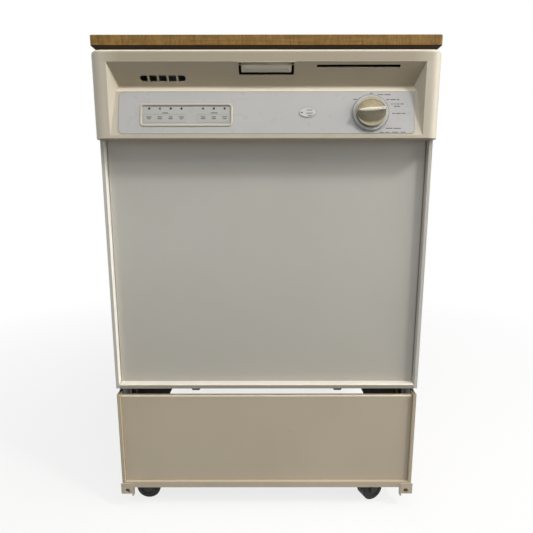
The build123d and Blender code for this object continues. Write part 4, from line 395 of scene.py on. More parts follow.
own_looks = {
    # The door's bottom trim: paler than the cream plastic as painted highlight for its lit top, downward
    # faces darker as painted shade.
    "door_bottom_trim": moulded("trim_highlight_cream", (0.750, 0.715, 0.645), (0.480, 0.430, 0.330), 0.40, 0.15, 0.2,
                                underside_shade=1.05),
    # The console: upward faces paler as painted highlight; downward faces and the top band under the worktop
    # darker as painted shade.
    "console": moulded("console_plastic", tint(CREAM, 1.05), CREAM_DIRT_AND_SHADE, 0.42, edge_wear_and_highlight=0.3, upper=1.45,
                       underside_shade=1.22, darkening=LIP_SHADE),
    # The door panel: up- and left-facing folds paler as painted highlight, and darker towards the bottom.
    "door_outer_panel": enamel("door_enamel", (0.550, 0.532, 0.485), (0.420, 0.388, 0.312), 0.30, 0.07,
                               fold_highlight=0.9, darkening=DOOR_DARKENING, coat=0.9),
    # The lower panel: up- and left-facing folds paler as painted highlight.
    "lower_access_panel": enamel("panel_enamel", ALMOND, ALMOND_DIRT, 0.34, 0.2, 0.9, fold_highlight=0.9),
    # The left side: the hem's inner edge paler as painted highlight.
    "cabinet_side_left": enamel("side_enamel", WHITE, WHITE_DIRT, 0.30, 0.07, hem_highlight=1.0),
    # The base's sides: painted shade within.
    "base_side_left": base_look(),
    "hinge_brackets": mats["motor_steel"],
}
own_looks["base_side_right"] = own_looks["base_side_left"]
# The knob's crest is paler than the knob: a painted highlight.
crest_highlight_plastic = moulded("crest_highlight_plastic", (0.700, 0.645, 0.490), (0.480, 0.420, 0.280), 0.16, 0.03, 0.15,
                        coat=1.0)
# Dark brown for the line of painted shade round the knob's ridge.
groove_shade_brown = moulded("groove_shade_brown", (0.075, 0.060, 0.036), (0.110, 0.092, 0.060), 0.5, 0.05, 0.4)
pointer_white = moulded("pointer_white", (0.760, 0.750, 0.700), (0.560, 0.520, 0.420), 0.32, 0.05, 0.2)
slot_of = {s["node"]: s["material_slot"] for s in frame["record"]["subparts"]}
for name, piece in nodes.items():
    piece.data.materials.clear()
    if name.startswith("caster_wheel"):
        low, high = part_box(name)
        piece.data.materials.append(wheel_look(name + "_look", (low + high) / 2))
    else:
        piece.data.materials.append(own_looks.get(name, mats[slot_of[name]]))


# Helpers for the pieces: flat shapes on a tilted ground, rings of corners, and bent wires

class Ground:
    """A flat ground to build on, with its middle, its up direction and its normal. X is to the right."""

    def __init__(self, middle, tilt):
        self.middle = Vector(middle)
        self.right = Vector((1.0, 0.0, 0.0))
        self.up = Vector((0.0, math.sin(tilt), math.cos(tilt)))
        self.normal = Vector((0.0, -math.cos(tilt), math.sin(tilt)))

    def at(self, u, v, h=0.0):
        return self.middle + u * self.right + v * self.up + h * self.normal


def rounded(width, height, radius, steps=6):
    """The outline of a rounded rectangle about the origin."""
    points = []
    for quarter, (sx, sy) in enumerate(((1, 1), (-1, 1), (-1, -1), (1, -1))):
        for step in range(steps + 1):
            angle = math.radians(90.0 * (quarter + step / steps))
            points.append((sx * (width / 2 - radius) + radius * math.cos(angle),
                           sy * (height / 2 - radius) + radius * math.sin(angle)))
    return points


def oval(width, height, steps=48):
    return [(width / 2 * math.cos(2 * math.pi * i / steps), height / 2 * math.sin(2 * math.pi * i / steps))
            for i in range(steps)]


def moved(outline, u, v, turn=0.0):
    c, s = math.cos(turn), math.sin(turn)
    return [(u + c * x - s * y, v + s * x + c * y) for x, y in outline]


def add_prism(bm, ground, outline, low, high, hole=None):
    """A flat solid between two heights over the ground, and a hole of as many points if one is given."""
    loops = [outline] + ([hole] if hole else [])
    rings = [[[bm.verts.new(ground.at(u, v, h)) for u, v in loop] for h in (low, high)] for loop in loops]
    count = len(outline)
    for i in range(count):
        j = (i + 1) % count
        bottom, top = rings[0]
        bm.faces.new((bottom[i], bottom[j], top[j], top[i]))
        if hole:
            inner_bottom, inner_top = rings[1]
            bm.faces.new((inner_bottom[j], inner_bottom[i], inner_top[i], inner_top[j]))
            bm.faces.new((top[i], top[j], inner_top[j], inner_top[i]))
            bm.faces.new((bottom[j], bottom[i], inner_bottom[i], inner_bottom[j]))
    if not hole:
        bm.faces.new(rings[0][1])
        bm.faces.new(list(reversed(rings[0][0])))


def join_rings(bm, rings):
    """Faces between each ring of corners and the next."""
    for outer, inner in zip(rings, rings[1:]):
        for i in range(len(outer)):
            j = (i + 1) % len(outer)
            bm.faces.new((outer[i], outer[j], inner[j], inner[i]))


def new_piece(name, mesh, body, material, slot, smooth=False):
    made = bpy.data.objects.new(name, mesh)
    scene.collection.objects.link(made)
    mesh.materials.append(material)
    for face in mesh.polygons:
        face.use_smooth = smooth
    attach(made, body)
    return made


def from_bmesh(name, bm):
    mesh = bpy.data.meshes.new(name)
    bmesh.ops.recalc_face_normals(bm, faces=bm.faces)
    bm.to_mesh(mesh)
    bm.free()
    return mesh


def solid_piece(name, bm, *details, smooth=False):
    return new_piece(name, from_bmesh(name, bm), *details, smooth)


def bent(points, radius, steps=5):
    """A path through the points with its corners rounded by arcs."""
    points = [Vector(p) for p in points]
    path = [points[0]]
    for before, corner, after in zip(points, points[1:], points[2:]):
        a = (before - corner).normalized()
        b = (after - corner).normalized()
        half = a.angle(b) / 2
        run = radius / math.tan(half)
        middle = corner + (a + b).normalized() * (radius / math.sin(half))
        start = (corner + a * run - middle).normalized()
        end = (corner + b * run - middle).normalized()
        for step in range(steps + 1):
            path.append(middle + radius * start.slerp(end, step / steps))
    return path + [points[-1]]


def wires(name, paths, radius, sides):
    """A mesh of round wires along the paths."""
    curve = bpy.data.curves.new(name, "CURVE")
    curve.dimensions = "3D"
    curve.bevel_depth = radius
    curve.bevel_resolution = sides
    curve.use_fill_caps = True
    for path in paths:
        spline = curve.splines.new("POLY")
        spline.points.add(len(path) - 1)
        for point, place in zip(spline.points, path):
            point.co = (*place, 1.0)
    holder = bpy.data.objects.new(name, curve)
    mesh = bpy.data.meshes.new_from_object(holder)
    bpy.data.objects.remove(holder)
    bpy.data.curves.remove(curve)
    mesh.name = name
    return mesh


def wire_piece(name, paths, radius, sides, *details):
    return new_piece(name, wires(name, paths, radius, sides), *details, smooth=True)


def thicken(piece, thickness):
    made = piece.modifiers.new("thickness", "SOLIDIFY")
    made.thickness = thickness
    made.offset = 0.0


def box_of(points):
    return Vector(map(min, zip(*points))), Vector(map(max, zip(*points)))


def middle_of(node):
    low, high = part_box(node)
    return (low + high) / 2


def solids_of(node):
    """The boxes of a node's separate solids, found by the corners that their faces share."""
    mesh = nodes[node].data
    key_of = [tuple(round(c, 6) for c in v.co) for v in mesh.vertices]
    group = {key: key for key in key_of}

    def root(key):
        while group[key] != key:
            key = group[key]
        return key

    for face in mesh.polygons:
        first = root(key_of[face.vertices[0]])
        for index in face.vertices[1:]:
            group[root(key_of[index])] = first
    boxes = {}
    for key in group:
        boxes.setdefault(root(key), []).append(Vector(key))
    return [box_of(points) for points in boxes.values()]


FRONT_FACING = -0.3


def face_ground(node):
    """The ground on a node's largest flat face that looks to the front."""
    mesh = nodes[node].data
    flats = {}
    for face in mesh.polygons:
        if face.normal.y < FRONT_FACING:
            key = tuple(round(c, 2) for c in face.normal) + (round(face.normal.dot(face.center), 4),)
            flats.setdefault(key, []).append(face)
    largest = max(flats.values(), key=lambda faces: sum(f.area for f in faces))
    corners = [mesh.vertices[i].co for face in largest for i in face.vertices]
    low, high = box_of(corners)
    normal = largest[0].normal
    return Ground((low + high) / 2, math.atan2(normal.z, -normal.y))


# Keypad: the outlines of its two groups of keys, the key pads and their plain printed bars

EMBOSS = 0.00015
PRINT = 0.00006
LEGEND_HEIGHT = 0.0014
BAR_CORNER = 0.0004
KEY_GROUPS = ((-0.0380, 0.0745), (0.0465, 0.0555))
GROUP_RISE = -0.0053
GROUP_HEIGHT = 0.0150
GROUP_CORNER = 0.0025
GROUP_LINE = 0.0005
OUTLINE_RISE = 1.6 * EMBOSS
KEYS = (-0.0655, -0.0465, -0.0275, -0.0085, 0.0295, 0.0485, 0.0675)
KEY_SIZE = (0.0160, 0.0118)
KEY_CORNER = 0.0018
BAR_HEIGHT = 0.0015
KEY_BARS = ((-0.0030, 0.0090), (-0.0062, 0.0074))
HEADINGS = ((-0.0370, 0.0105), (0.0490, 0.0120))
HEADING_RISE = 0.0043
BAR_CUT = 0.09


def bar(width, height):
    """The outline of a printed bar."""
    return rounded(width, height, BAR_CORNER, 2)


def make_keypad():
    ground = face_ground("keypad_film")
    outlines = bmesh.new()
    for u, width in KEY_GROUPS:
        loops = (rounded(width - 2 * inset, GROUP_HEIGHT - 2 * inset, GROUP_CORNER - inset)
                 for inset in (0.0, GROUP_LINE))
        outer, inner = (moved(loop, u, GROUP_RISE) for loop in loops)
        add_prism(outlines, ground, outer, 0.0, OUTLINE_RISE, inner)
    emboss = moulded("key_outline", (0.330, 0.326, 0.310), (0.260, 0.252, 0.230), 0.36, 0.08, 0.3)
    solid_piece("key_outlines", outlines, "door", emboss, "film")
    pads = bmesh.new()
    bars = bmesh.new()
    for place, u in enumerate(KEYS):
        add_prism(pads, ground, moved(rounded(*KEY_SIZE, KEY_CORNER), u, GROUP_RISE), 0.0, EMBOSS)
        for line, (down, width) in enumerate(KEY_BARS):
            trimmed = width * (1.0 - BAR_CUT * ((place + 2 * line) % 3))
            add_prism(bars, ground, moved(bar(trimmed, BAR_HEIGHT), u, down), EMBOSS, EMBOSS + PRINT)
    for u, width in HEADINGS:
        add_prism(bars, ground, moved(bar(width, BAR_HEIGHT), u, HEADING_RISE), 0.0, PRINT)
    solid_piece("key_pads", pads, "door", mats["film"], "film")
    solid_piece("key_bars", bars, "door", ink, "black_plastic")


make_keypad()


# Keypad bezel: a frame of rounded section that falls to the film

BEZEL_RING = 0.0040
BEZEL_CORNER = 0.0070
BEZEL_STEPS = 12
BEZEL_CREST = 0.42


def make_bezel():
    ground = face_ground("control_insert")
    away = [v.co - ground.middle for v in nodes["keypad_bezel"].data.vertices]
    us, vs, hs = ([a.dot(way) for a in away] for way in (ground.right, ground.up, ground.normal))
    width, height, rise = (max(row) - min(row) for row in (us, vs, hs))
    middle = ((max(us) + min(us)) / 2, (max(vs) + min(vs)) / 2)
    bm = bmesh.new()
    loops = []
    for step in range(BEZEL_STEPS + 1):
        share = step / BEZEL_STEPS
        run = (share - BEZEL_CREST) / (BEZEL_CREST if share < BEZEL_CREST else 1 - BEZEL_CREST)
        inset = BEZEL_RING * share
        outline = rounded(width - 2 * inset, height - 2 * inset, BEZEL_CORNER - inset)
        lift = min(hs) + rise * math.sqrt(max(0.0, 1 - run * run))
        loops.append([bm.verts.new(ground.at(u, v, lift)) for u, v in moved(outline, *middle)])
    loops.append(loops[0])
    join_rings(bm, loops)
    bezel = solid_piece("bezel_frame", bm, "door", mats["almond_plastic"], "almond_plastic", smooth=True)
    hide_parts("keypad_bezel")


make_bezel()


# Control insert: a fine line along its border

BORDER_INSET = 0.0006
BORDER_LINE = 0.0006
BORDER_CORNER = 0.0084


def make_border():
    ground = face_ground("control_insert")
    low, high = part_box("control_insert")
    size = (high.x - low.x - 2 * BORDER_INSET, (high - low).dot(ground.up) - 2 * BORDER_INSET)
    border = bmesh.new()
    add_prism(border, ground, rounded(*size, BORDER_CORNER), 0.0, PRINT,
              rounded(size[0] - 2 * BORDER_LINE, size[1] - 2 * BORDER_LINE, BORDER_CORNER - BORDER_LINE))
    line = moulded("border_line", (0.300, 0.290, 0.265), (0.230, 0.215, 0.180), 0.45, 0.05, 0.4)
    solid_piece("insert_border", border, "door", line, "grey_plastic")


make_border()


# Rinse indicator: a fine oval outline round its window, and a dark spot and plain bars in it

RINSE_OUTLINE = (0.0335, 0.0222)
RINSE_LINE = 0.0005
RINSE_SPOT = (0.0036, 0.0027)
SPOT_STEPS = 24
SPOT_SIDE = -0.0096
SPOT_RISE = 0.0002
RINSE_SIDE = 0.0036
RINSE_BARS = ((0.0046, 0.0100), (-0.0010, 0.0118), (-0.0050, 0.0070))


def make_rinse_window():
    ground = face_ground("control_insert")
    low, high = max(solids_of("indicator_lenses"), key=lambda box: box[1].x)
    window = (low + high) / 2
    away = window - ground.middle
    u, v = away.x, away.dot(ground.up)
    outline = bmesh.new()
    add_prism(outline, ground, moved(oval(*RINSE_OUTLINE), u, v), 0.0, EMBOSS,
              moved(oval(*(size - 2 * RINSE_LINE for size in RINSE_OUTLINE)), u, v))
    line = moulded("fine_line", (0.400, 0.398, 0.390), (0.330, 0.325, 0.315), 0.4, 0.05, 0.3)
    solid_piece("rinse_outline", outline, "door", line, "grey_plastic")
    spot = bmesh.new()
    top = max((v.co - ground.middle).dot(ground.normal) for v in nodes["indicator_lenses"].data.vertices)
    add_prism(spot, ground, moved(oval(*RINSE_SPOT, SPOT_STEPS), u + SPOT_SIDE, v),
              top - SPOT_RISE, top + SPOT_RISE)
    for rise, width in RINSE_BARS:
        add_prism(spot, ground, moved(bar(width, LEGEND_HEIGHT), u + RINSE_SIDE, v + rise),
                  top - SPOT_RISE, top + PRINT)
    solid_piece("rinse_spot", spot, "door", ink, "black_plastic")


make_rinse_window()


# Timer: ticks and plain printed bars round the dial, a line along its edge, and the knob's domed crest,
# pale as a painted highlight, a dark groove line painted as shade, and white pointer

TICK_RING = 0.0340
TICK_SIZE = (0.0018, 0.0005)
TICK_CORNER = 0.0002
TICK_ANGLES = (62.0, 56.0, 34.0, 24.0)
LEGENDS = (
    (-0.0262, 0.0248, (0.0064,)), (0.0025, 0.0360, (0.0054,)), (0.0249, 0.0332, (0.0100, 0.0110)),
    (0.0400, 0.0244, (0.0060, 0.0090, 0.0050)), (0.0478, 0.0165, (0.0040, 0.0030, 0.0050, 0.0060)),
    (0.0472, 0.0123, (0.0110,)), (0.0500, -0.0005, (0.0050, 0.0090, 0.0060)),
    (0.0401, -0.0272, (0.0120, 0.0130)),
    (0.0384, -0.0342, (0.0080, 0.0080, 0.0010, 0.0110, 0.0010, 0.0090)),
)
WORD_GAP = 0.0016
KNOB_TURN = math.radians(4.0)
RIDGE_RISE = 0.0090
POINTER_SIZE = (0.0105, 0.0042)
POINTER_CORNER = 0.0012
POINTER_PLACE = 0.0170
POINTER_LINE = (0.62 * POINTER_SIZE[0], 0.0006, 0.00025)
LINE_PROUD = 0.00005
CREST_SIZE = (0.0482, 0.0068)
CREST_SINK = 0.0006
CREST_DOME = 0.0010
CREST_RINGS = 6
GROOVE_SIZE = (0.0508, 0.0412)
GROOVE_WIDTH = 0.0007
GROOVE_RISE = 0.0002
DIAL_LINE = 0.0006
DIAL_INSET = 0.0002
DIAL_STEPS = 96


def make_timer_marks():
    insert = face_ground("control_insert")
    dial = face_ground("timer_dial").middle
    away = dial - insert.middle
    u, v = away.x, away.dot(insert.up)
    marks = bmesh.new()
    for degrees in TICK_ANGLES:
        angle = math.radians(degrees)
        place = (u + TICK_RING * math.cos(angle), v + TICK_RING * math.sin(angle))
        add_prism(marks, insert, moved(rounded(*TICK_SIZE, TICK_CORNER, 2), *place, angle), 0.0, PRINT)
    for right, up, words in LEGENDS:
        start = u + right - (sum(words) + WORD_GAP * (len(words) - 1)) / 2
        for width in words:
            add_prism(marks, insert, moved(bar(width, LEGEND_HEIGHT), start + width / 2, v + up), 0.0, PRINT)
            start += width + WORD_GAP
    solid_piece("timer_marks", marks, "door", ink, "black_plastic")


def make_knob():
    rim = face_ground("timer_knob")
    crest = bmesh.new()
    rings = []
    for step in range(CREST_RINGS):
        angle = math.pi / 2 * step / CREST_RINGS
        outline = oval(*(size * math.cos(angle) for size in CREST_SIZE))
        lift = RIDGE_RISE - CREST_SINK + (CREST_SINK + CREST_DOME) * math.sin(angle)
        rings.append([crest.verts.new(rim.at(u, v, lift)) for u, v in moved(outline, 0.0, 0.0, KNOB_TURN)])
    join_rings(crest, rings)
    crest.faces.new(rings[-1])
    crest.faces.new(rings[0])
    solid_piece("knob_crest", crest, "timer", crest_highlight_plastic, "knob_plastic", smooth=True)
    # A dark line round the ridge's foot: painted shade in the groove.
    lines = bmesh.new()
    add_prism(lines, rim, moved(oval(*GROOVE_SIZE), 0.0, 0.0, KNOB_TURN), 0.0, GROOVE_RISE,
              moved(oval(*(size - 2 * GROOVE_WIDTH for size in GROOVE_SIZE)), 0.0, 0.0, KNOB_TURN))
    solid_piece("knob_groove_shade", lines, "timer", groove_shade_brown, "knob_plastic")
    low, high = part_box("timer_dial")
    ring = bmesh.new()
    outer, inner = (oval(high.x - low.x - 2 * inset, high.x - low.x - 2 * inset, DIAL_STEPS)
                    for inset in (DIAL_INSET, DIAL_INSET + DIAL_LINE))
    add_prism(ring, face_ground("timer_dial"), outer, 0.0, PRINT, inner)
    solid_piece("dial_line", ring, "timer", ink, "black_plastic")
    pointer = bmesh.new()
    place = (POINTER_PLACE * math.cos(KNOB_TURN), POINTER_PLACE * math.sin(KNOB_TURN))
    add_prism(pointer, rim, moved(rounded(*POINTER_SIZE, POINTER_CORNER), *place, KNOB_TURN),
              RIDGE_RISE - CREST_SINK, RIDGE_RISE + CREST_DOME)
    solid_piece("knob_pointer", pointer, "timer", pointer_white, "white_plastic")
    line = bmesh.new()
    add_prism(line, rim, moved(rounded(*POINTER_LINE, 2), *place, KNOB_TURN),
              RIDGE_RISE, RIDGE_RISE + CREST_DOME + LINE_PROUD)
    solid_piece("pointer_line", line, "timer", ink, "black_plastic")


make_timer_marks()
make_knob()


# Latch paddle: the finger face, which swells to a curved crease, the rolled top, and the rim of the opening

PADDLE_FACE = (0.0855, 0.0121)
PADDLE_LIP = 0.0064
FACE_COLUMNS, FACE_ROWS = 36, 14
FACE_LIFT = 0.0001
FACE_SHEET, ROLL_SHEET = 0.0003, 0.0004
PIN_START = 0.003
OPENING = (0.0962, 0.0219, -0.00075)
OPENING_RIM = (0.1022, 0.0271, -0.00195)
RIM_CORNER = 0.0022
RIM_LIFT = (0.0004, 0.0013)
ROLL_RADIUS = 0.0059
ROLL_START, ROLL_END = 18.0, 72.0
ROLL_STEPS = 8
CREASE = 0.0022
CREASE_DIP = 0.0022
CREASE_PLACE = 0.36
CREASE_FALL = 0.85
END_SLOPE = 12


def make_paddle_face():
    ground = face_ground("latch_paddle")
    bm = bmesh.new()
    grid = []
    for row in range(FACE_ROWS + 1):
        line = []
        for column in range(FACE_COLUMNS + 1):
            s, t = 2 * column / FACE_COLUMNS - 1, row / FACE_ROWS
            crease = CREASE_PLACE + CREASE_DIP / PADDLE_FACE[1] * (1 - s * s)
            rise = t / crease if t < crease else 1 - CREASE_FALL * (t - crease) / (1 - crease)
            end = min(1.0, END_SLOPE * (1 - abs(s)))
            line.append(bm.verts.new(ground.at(s * PADDLE_FACE[0] / 2, PADDLE_LIP - t * PADDLE_FACE[1],
                                               FACE_LIFT + CREASE * end * math.sin(rise * math.pi / 2))))
        grid.append(line)
    for upper, lower in zip(grid, grid[1:]):
        for i in range(FACE_COLUMNS):
            bm.faces.new((upper[i], lower[i], lower[i + 1], upper[i + 1]))
    face = solid_piece("paddle_face", bm, "paddle", mats["almond_plastic"], "almond_plastic", smooth=True)
    thicken(face, FACE_SHEET)


def make_paddle_roll():
    """The paddle's rolled top, round the axis of its pins, so that it turns within the opening."""
    ground = face_ground("latch_paddle")
    half = PADDLE_FACE[0] / 2
    pins = [v.co for v in nodes["latch_paddle"].data.vertices if abs(v.co.x) > half + PIN_START]
    low, high = box_of(pins)
    axis = (low + high) / 2
    bm = bmesh.new()
    rows = []
    for step in range(ROLL_STEPS + 1):
        angle = math.radians(ROLL_START + (ROLL_END - ROLL_START) * step / ROLL_STEPS)
        place = axis + ROLL_RADIUS * (math.cos(angle) * ground.normal + math.sin(angle) * ground.up)
        rows.append([bm.verts.new(place + side * half * ground.right) for side in (-1, 1)])
    for lower, upper in zip(rows, rows[1:]):
        bm.faces.new((lower[0], lower[1], upper[1], upper[0]))
    roll = solid_piece("paddle_roll", bm, "paddle", mats["almond_plastic"], "almond_plastic", smooth=True)
    thicken(roll, ROLL_SHEET)


def make_opening_rim():
    """A low rim on the scoop, round the opening that the paddle hangs in."""
    ground = face_ground("latch_paddle")
    rim = bmesh.new()
    inner, outer = (moved(rounded(width, height, RIM_CORNER), 0.0, rise)
                    for width, height, rise in (OPENING, OPENING_RIM))
    add_prism(rim, ground, outer, *RIM_LIFT, inner)
    solid_piece("opening_rim", rim, "door", own_looks["console"], "almond_plastic")


make_paddle_face()
make_paddle_roll()
make_opening_rim()


# Back panel screws: domed heads with a cross recess

SCREW_STEPS = 24
SCREW_PROFILE = ((0.5, 0.96), (0.78, 0.84), (0.94, 0.6), (1.0, 0.3), (1.0, 0.0))
CROSS_ARM = ((0.62, 0.14), (0.14, 0.14), (0.14, 0.62))
RECESS_TOP, RECESS_FLOOR = (0.75, 0.97), (0.6, 0.45)


def make_screws():
    circle = oval(2.0, 2.0, SCREW_STEPS)
    star = [corner for quarter in range(4) for corner in moved(CROSS_ARM, 0.0, 0.0, quarter * math.pi / 2)]
    heads = bmesh.new()
    for low, high in solids_of("cabinet_screws"):
        place = (low + high) / 2
        radius = (high.x - low.x) / 2
        height = high.y - low.y

        def ring(outline, size, rise):
            reach = radius * size
            return [heads.verts.new((place.x + reach * x, low.y + rise * height, place.z + reach * z))
                    for x, z in outline]

        rings = [ring(circle, size, rise) for size, rise in SCREW_PROFILE]
        top, floor = ring(star, *RECESS_TOP), ring(star, *RECESS_FLOOR)
        join_rings(heads, rings)
        join_rings(heads, (top, floor))
        for i in range(len(star)):
            outer = [rings[0][(2 * i + step) % SCREW_STEPS] for step in (1, 2, 3)]
            heads.faces.new((*outer, top[(i + 1) % len(star)], top[i]))
        heads.faces.new(floor)
        heads.faces.new(rings[-1])
    made = solid_piece("screw_heads", heads, "cabinet", mats["zinc_steel"], "zinc_steel")
    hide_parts("cabinet_screws")


make_screws()


# Racks: coated round wire, bent up from the floor to the walls, with a heavier rim

WIRE = 0.0019
RIM_WIRE = 0.0026
WIRE_SIDES, PIN_SIDES = 2, 4
WIRE_INSET = 0.0021
CROSS_LIFT = 1.8 * WIRE
RACK_COLUMNS = 9
RACK_ROWS = 8
WIRE_BEND = 0.012
RIM_BEND = 0.030
LOWER_RACK = (0.245, 0.129)
UPPER_RACK = (0.235, 0.099)
TINE_COLUMNS = (1, 3, 5, 7)
TINE_ROWS = 6
TINE_START, TINE_PITCH, TINE_TOP = 0.075, 0.062, 0.062
HANGER_SIZE = (0.024, 0.0028)
HANGER_CORNER = 0.006
HANGER_OVER, HANGER_UNDER = 0.020, 0.008
PIN_RADIUS = 0.00395
RUNNER_HEIGHT = 0.0172
RUNNER_CORNER = 0.003
RUNNER_INSET = 0.010


def rack_paths(node, half_width, wall):
    """The bent wires and the rim loops of a rack, and the corners that they keep to."""
    low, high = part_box(node)
    x0, x1 = WIRE_INSET - half_width, half_width - WIRE_INSET
    y0, y1 = low.y + WIRE_INSET, high.y - WIRE_INSET
    top, floor = high.z - RIM_WIRE, high.z - wall + WIRE_INSET
    paths = []
    for i in range(1, RACK_COLUMNS):
        x = x0 + (x1 - x0) * i / RACK_COLUMNS
        paths.append(bent([(x, y0, top), (x, y0, floor), (x, y1, floor), (x, y1, top)], WIRE_BEND))
    cross = floor + CROSS_LIFT
    for i in range(1, RACK_ROWS):
        y = y0 + (y1 - y0) * i / RACK_ROWS
        paths.append(bent([(x0, y, top), (x0, y, cross), (x1, y, cross), (x1, y, top)], WIRE_BEND))
    loops = []
    for height in (top, (top + floor) / 2):
        start = ((x0 + x1) / 2, y0, height)
        corners = [(x1, y0, height), (x1, y1, height), (x0, y1, height), (x0, y0, height)]
        loops.append(bent([start, *corners, start], RIM_BEND))
    return paths, loops, (x0, x1, y0, y1, floor)


def make_wires(rack, paths, loops):
    coated = (rack, mats["rack_coating"], "rack_coating")
    return [wire_piece(rack + "_wires", paths, WIRE, WIRE_SIDES, *coated),
            wire_piece(rack + "_rim", loops, RIM_WIRE, WIRE_SIDES, *coated)]


def add_bar(bm, outline, start, along, place):
    """A straight bar whose outline lies across one axis: place(u, v, w) gives a point at w along it."""
    ends = [[bm.verts.new(place(u, v, w)) for u, v in outline] for w in (start, start + along)]
    for loop in ends:
        bm.faces.new(loop)
    for i in range(len(outline)):
        j = (i + 1) % len(outline)
        bm.faces.new((ends[0][i], ends[0][j], ends[1][j], ends[1][i]))


def make_lower_rack():
    paths, loops, (x0, x1, y0, y1, floor) = rack_paths("lower_rack", *LOWER_RACK)
    for column in TINE_COLUMNS:
        x = x0 + (x1 - x0) * column / RACK_COLUMNS
        for row in range(TINE_ROWS):
            y = y0 + TINE_START + TINE_PITCH * row
            paths.append([Vector((x, y, floor)), Vector((x, y, floor + TINE_TOP))])
    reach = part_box("lower_rack")[1].x
    half_width = LOWER_RACK[0]
    plates = bmesh.new()
    pins = []
    for node in ("rack_rollers_front", "rack_rollers_rear"):
        axle = middle_of(node)
        low, high = axle.z - HANGER_UNDER, floor + HANGER_OVER
        outline = moved(rounded(HANGER_SIZE[0], high - low, HANGER_CORNER), axle.y, (low + high) / 2)
        for side in (-1, 1):
            add_bar(plates, outline, side * half_width, side * HANGER_SIZE[1], lambda u, v, w: (w, u, v))
            pins.append([Vector((side * out, axle.y, axle.z)) for out in (half_width, reach)])
    made = make_wires("lower_rack", paths, loops)
    made.append(solid_piece("roller_hangers", plates, "lower_rack", mats["rack_coating"], "rack_coating"))
    made.append(wire_piece("roller_pins", pins, PIN_RADIUS, PIN_SIDES, "lower_rack", mats["zinc_steel"],
                           "zinc_steel"))
    for piece in made:
        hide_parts("lower_rack")


def make_upper_rack():
    paths, loops, (_, _, y0, y1, _) = rack_paths("upper_rack", *UPPER_RACK)
    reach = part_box("upper_rack")[1].x
    half_width = UPPER_RACK[0]
    track = middle_of("rack_tracks").z
    bars = bmesh.new()
    for side in (-1, 1):
        section = rounded(reach - half_width, RUNNER_HEIGHT, RUNNER_CORNER)
        outline = moved(section, side * (reach + half_width) / 2, track)
        add_bar(bars, outline, y0 + RUNNER_INSET, y1 - y0 - 2 * RUNNER_INSET, lambda u, v, w: (u, w, v))
    made = make_wires("upper_rack", paths, loops)
    made.append(solid_piece("rack_runners", bars, "upper_rack", mats["white_plastic"], "white_plastic"))
    for piece in made:
        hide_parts("upper_rack")


make_lower_rack()
make_upper_rack()


# Door springs: close-wound coils with a straight hook wire at each end

SPRING_WIRE = 0.0011
SPRING_SIDES = 1
SPRING_END = 0.018
COIL_PITCH = 3.2 * SPRING_WIRE
COIL_STEPS = 14


def make_springs():
    paths = []
    for low, high in solids_of("door_springs"):
        x, y = (low.x + high.x) / 2, (low.y + high.y) / 2
        radius = (high.x - low.x) / 2 - SPRING_WIRE
        bottom, top = low.z + SPRING_END, high.z - SPRING_END
        steps = COIL_STEPS * int((top - bottom) / COIL_PITCH)
        coil = [Vector((x, y, low.z + SPRING_WIRE))]
        for i in range(steps + 1):
            angle = 2 * math.pi * i / COIL_STEPS
            coil.append(Vector((x + radius * math.cos(angle), y + radius * math.sin(angle),
                                bottom + (top - bottom) * i / steps)))
        paths.append(coil + [Vector((x, y, high.z - SPRING_WIRE))])
    made = wire_piece("spring_coils", paths, SPRING_WIRE, SPRING_SIDES, "cabinet", mats["heater_steel"],
                      "zinc_steel")
    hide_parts("door_springs")


make_springs()


# Spray arms: a row of slotted jets along the upper face of each arm

JETS = 5
JET_SIZE, JET_CORNER = (0.010, 0.0045), 0.0021
SLOT_SIZE, SLOT_CORNER = (0.008, 0.0025), 0.0012
JET_START, JET_RUN = 0.28, 0.64
JET_SINK, JET_RISE, SLOT_SINK = 0.0005, 0.0008, 0.0004
JET_TURN = 25.0
JET_NEAR = 0.03


def make_jets(arm, body):
    low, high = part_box(arm)
    x, y = (low.x + high.x) / 2, (low.y + high.y) / 2
    along_x = high.x - low.x > high.y - low.y
    reach = max(high.x - low.x, high.y - low.y) / 2
    mesh = nodes[arm].data
    bm = bmesh.new()
    for side in (-1, 1):
        for jet in range(JETS):
            out = side * reach * (JET_START + JET_RUN * jet / (JETS - 1))
            u, v = (x + out, y) if along_x else (x, y + out)
            near = [w.co.z for w in mesh.vertices
                    if abs(w.co.x - u) < JET_NEAR and abs(w.co.y - v) < JET_NEAR]
            top = max(near, default=high.z)
            turn = math.radians(JET_TURN * side * (jet % 2))
            outer = moved(rounded(*JET_SIZE, JET_CORNER), u, v, turn)
            inner = moved(rounded(*SLOT_SIZE, SLOT_CORNER), u, v, turn)
            levels = ((outer, -JET_SINK), (outer, JET_RISE), (inner, JET_RISE), (inner, -SLOT_SINK))
            rings = [[bm.verts.new((p, q, top + lift)) for p, q in loop] for loop, lift in levels]
            join_rings(bm, rings)
            bm.faces.new(rings[0])
            bm.faces.new(rings[-1])
    solid_piece(arm + "_jets", bm, body, mats["seal_rubber"], "seal_rubber")


make_jets("lower_spray_arm", "lower_arm")
make_jets("upper_spray_arm", "upper_arm")


# The stage: a pale floor, a plain white surround, a clear lamp from the upper right, a broad one from the
# right, a soft one above and a weak one from the left

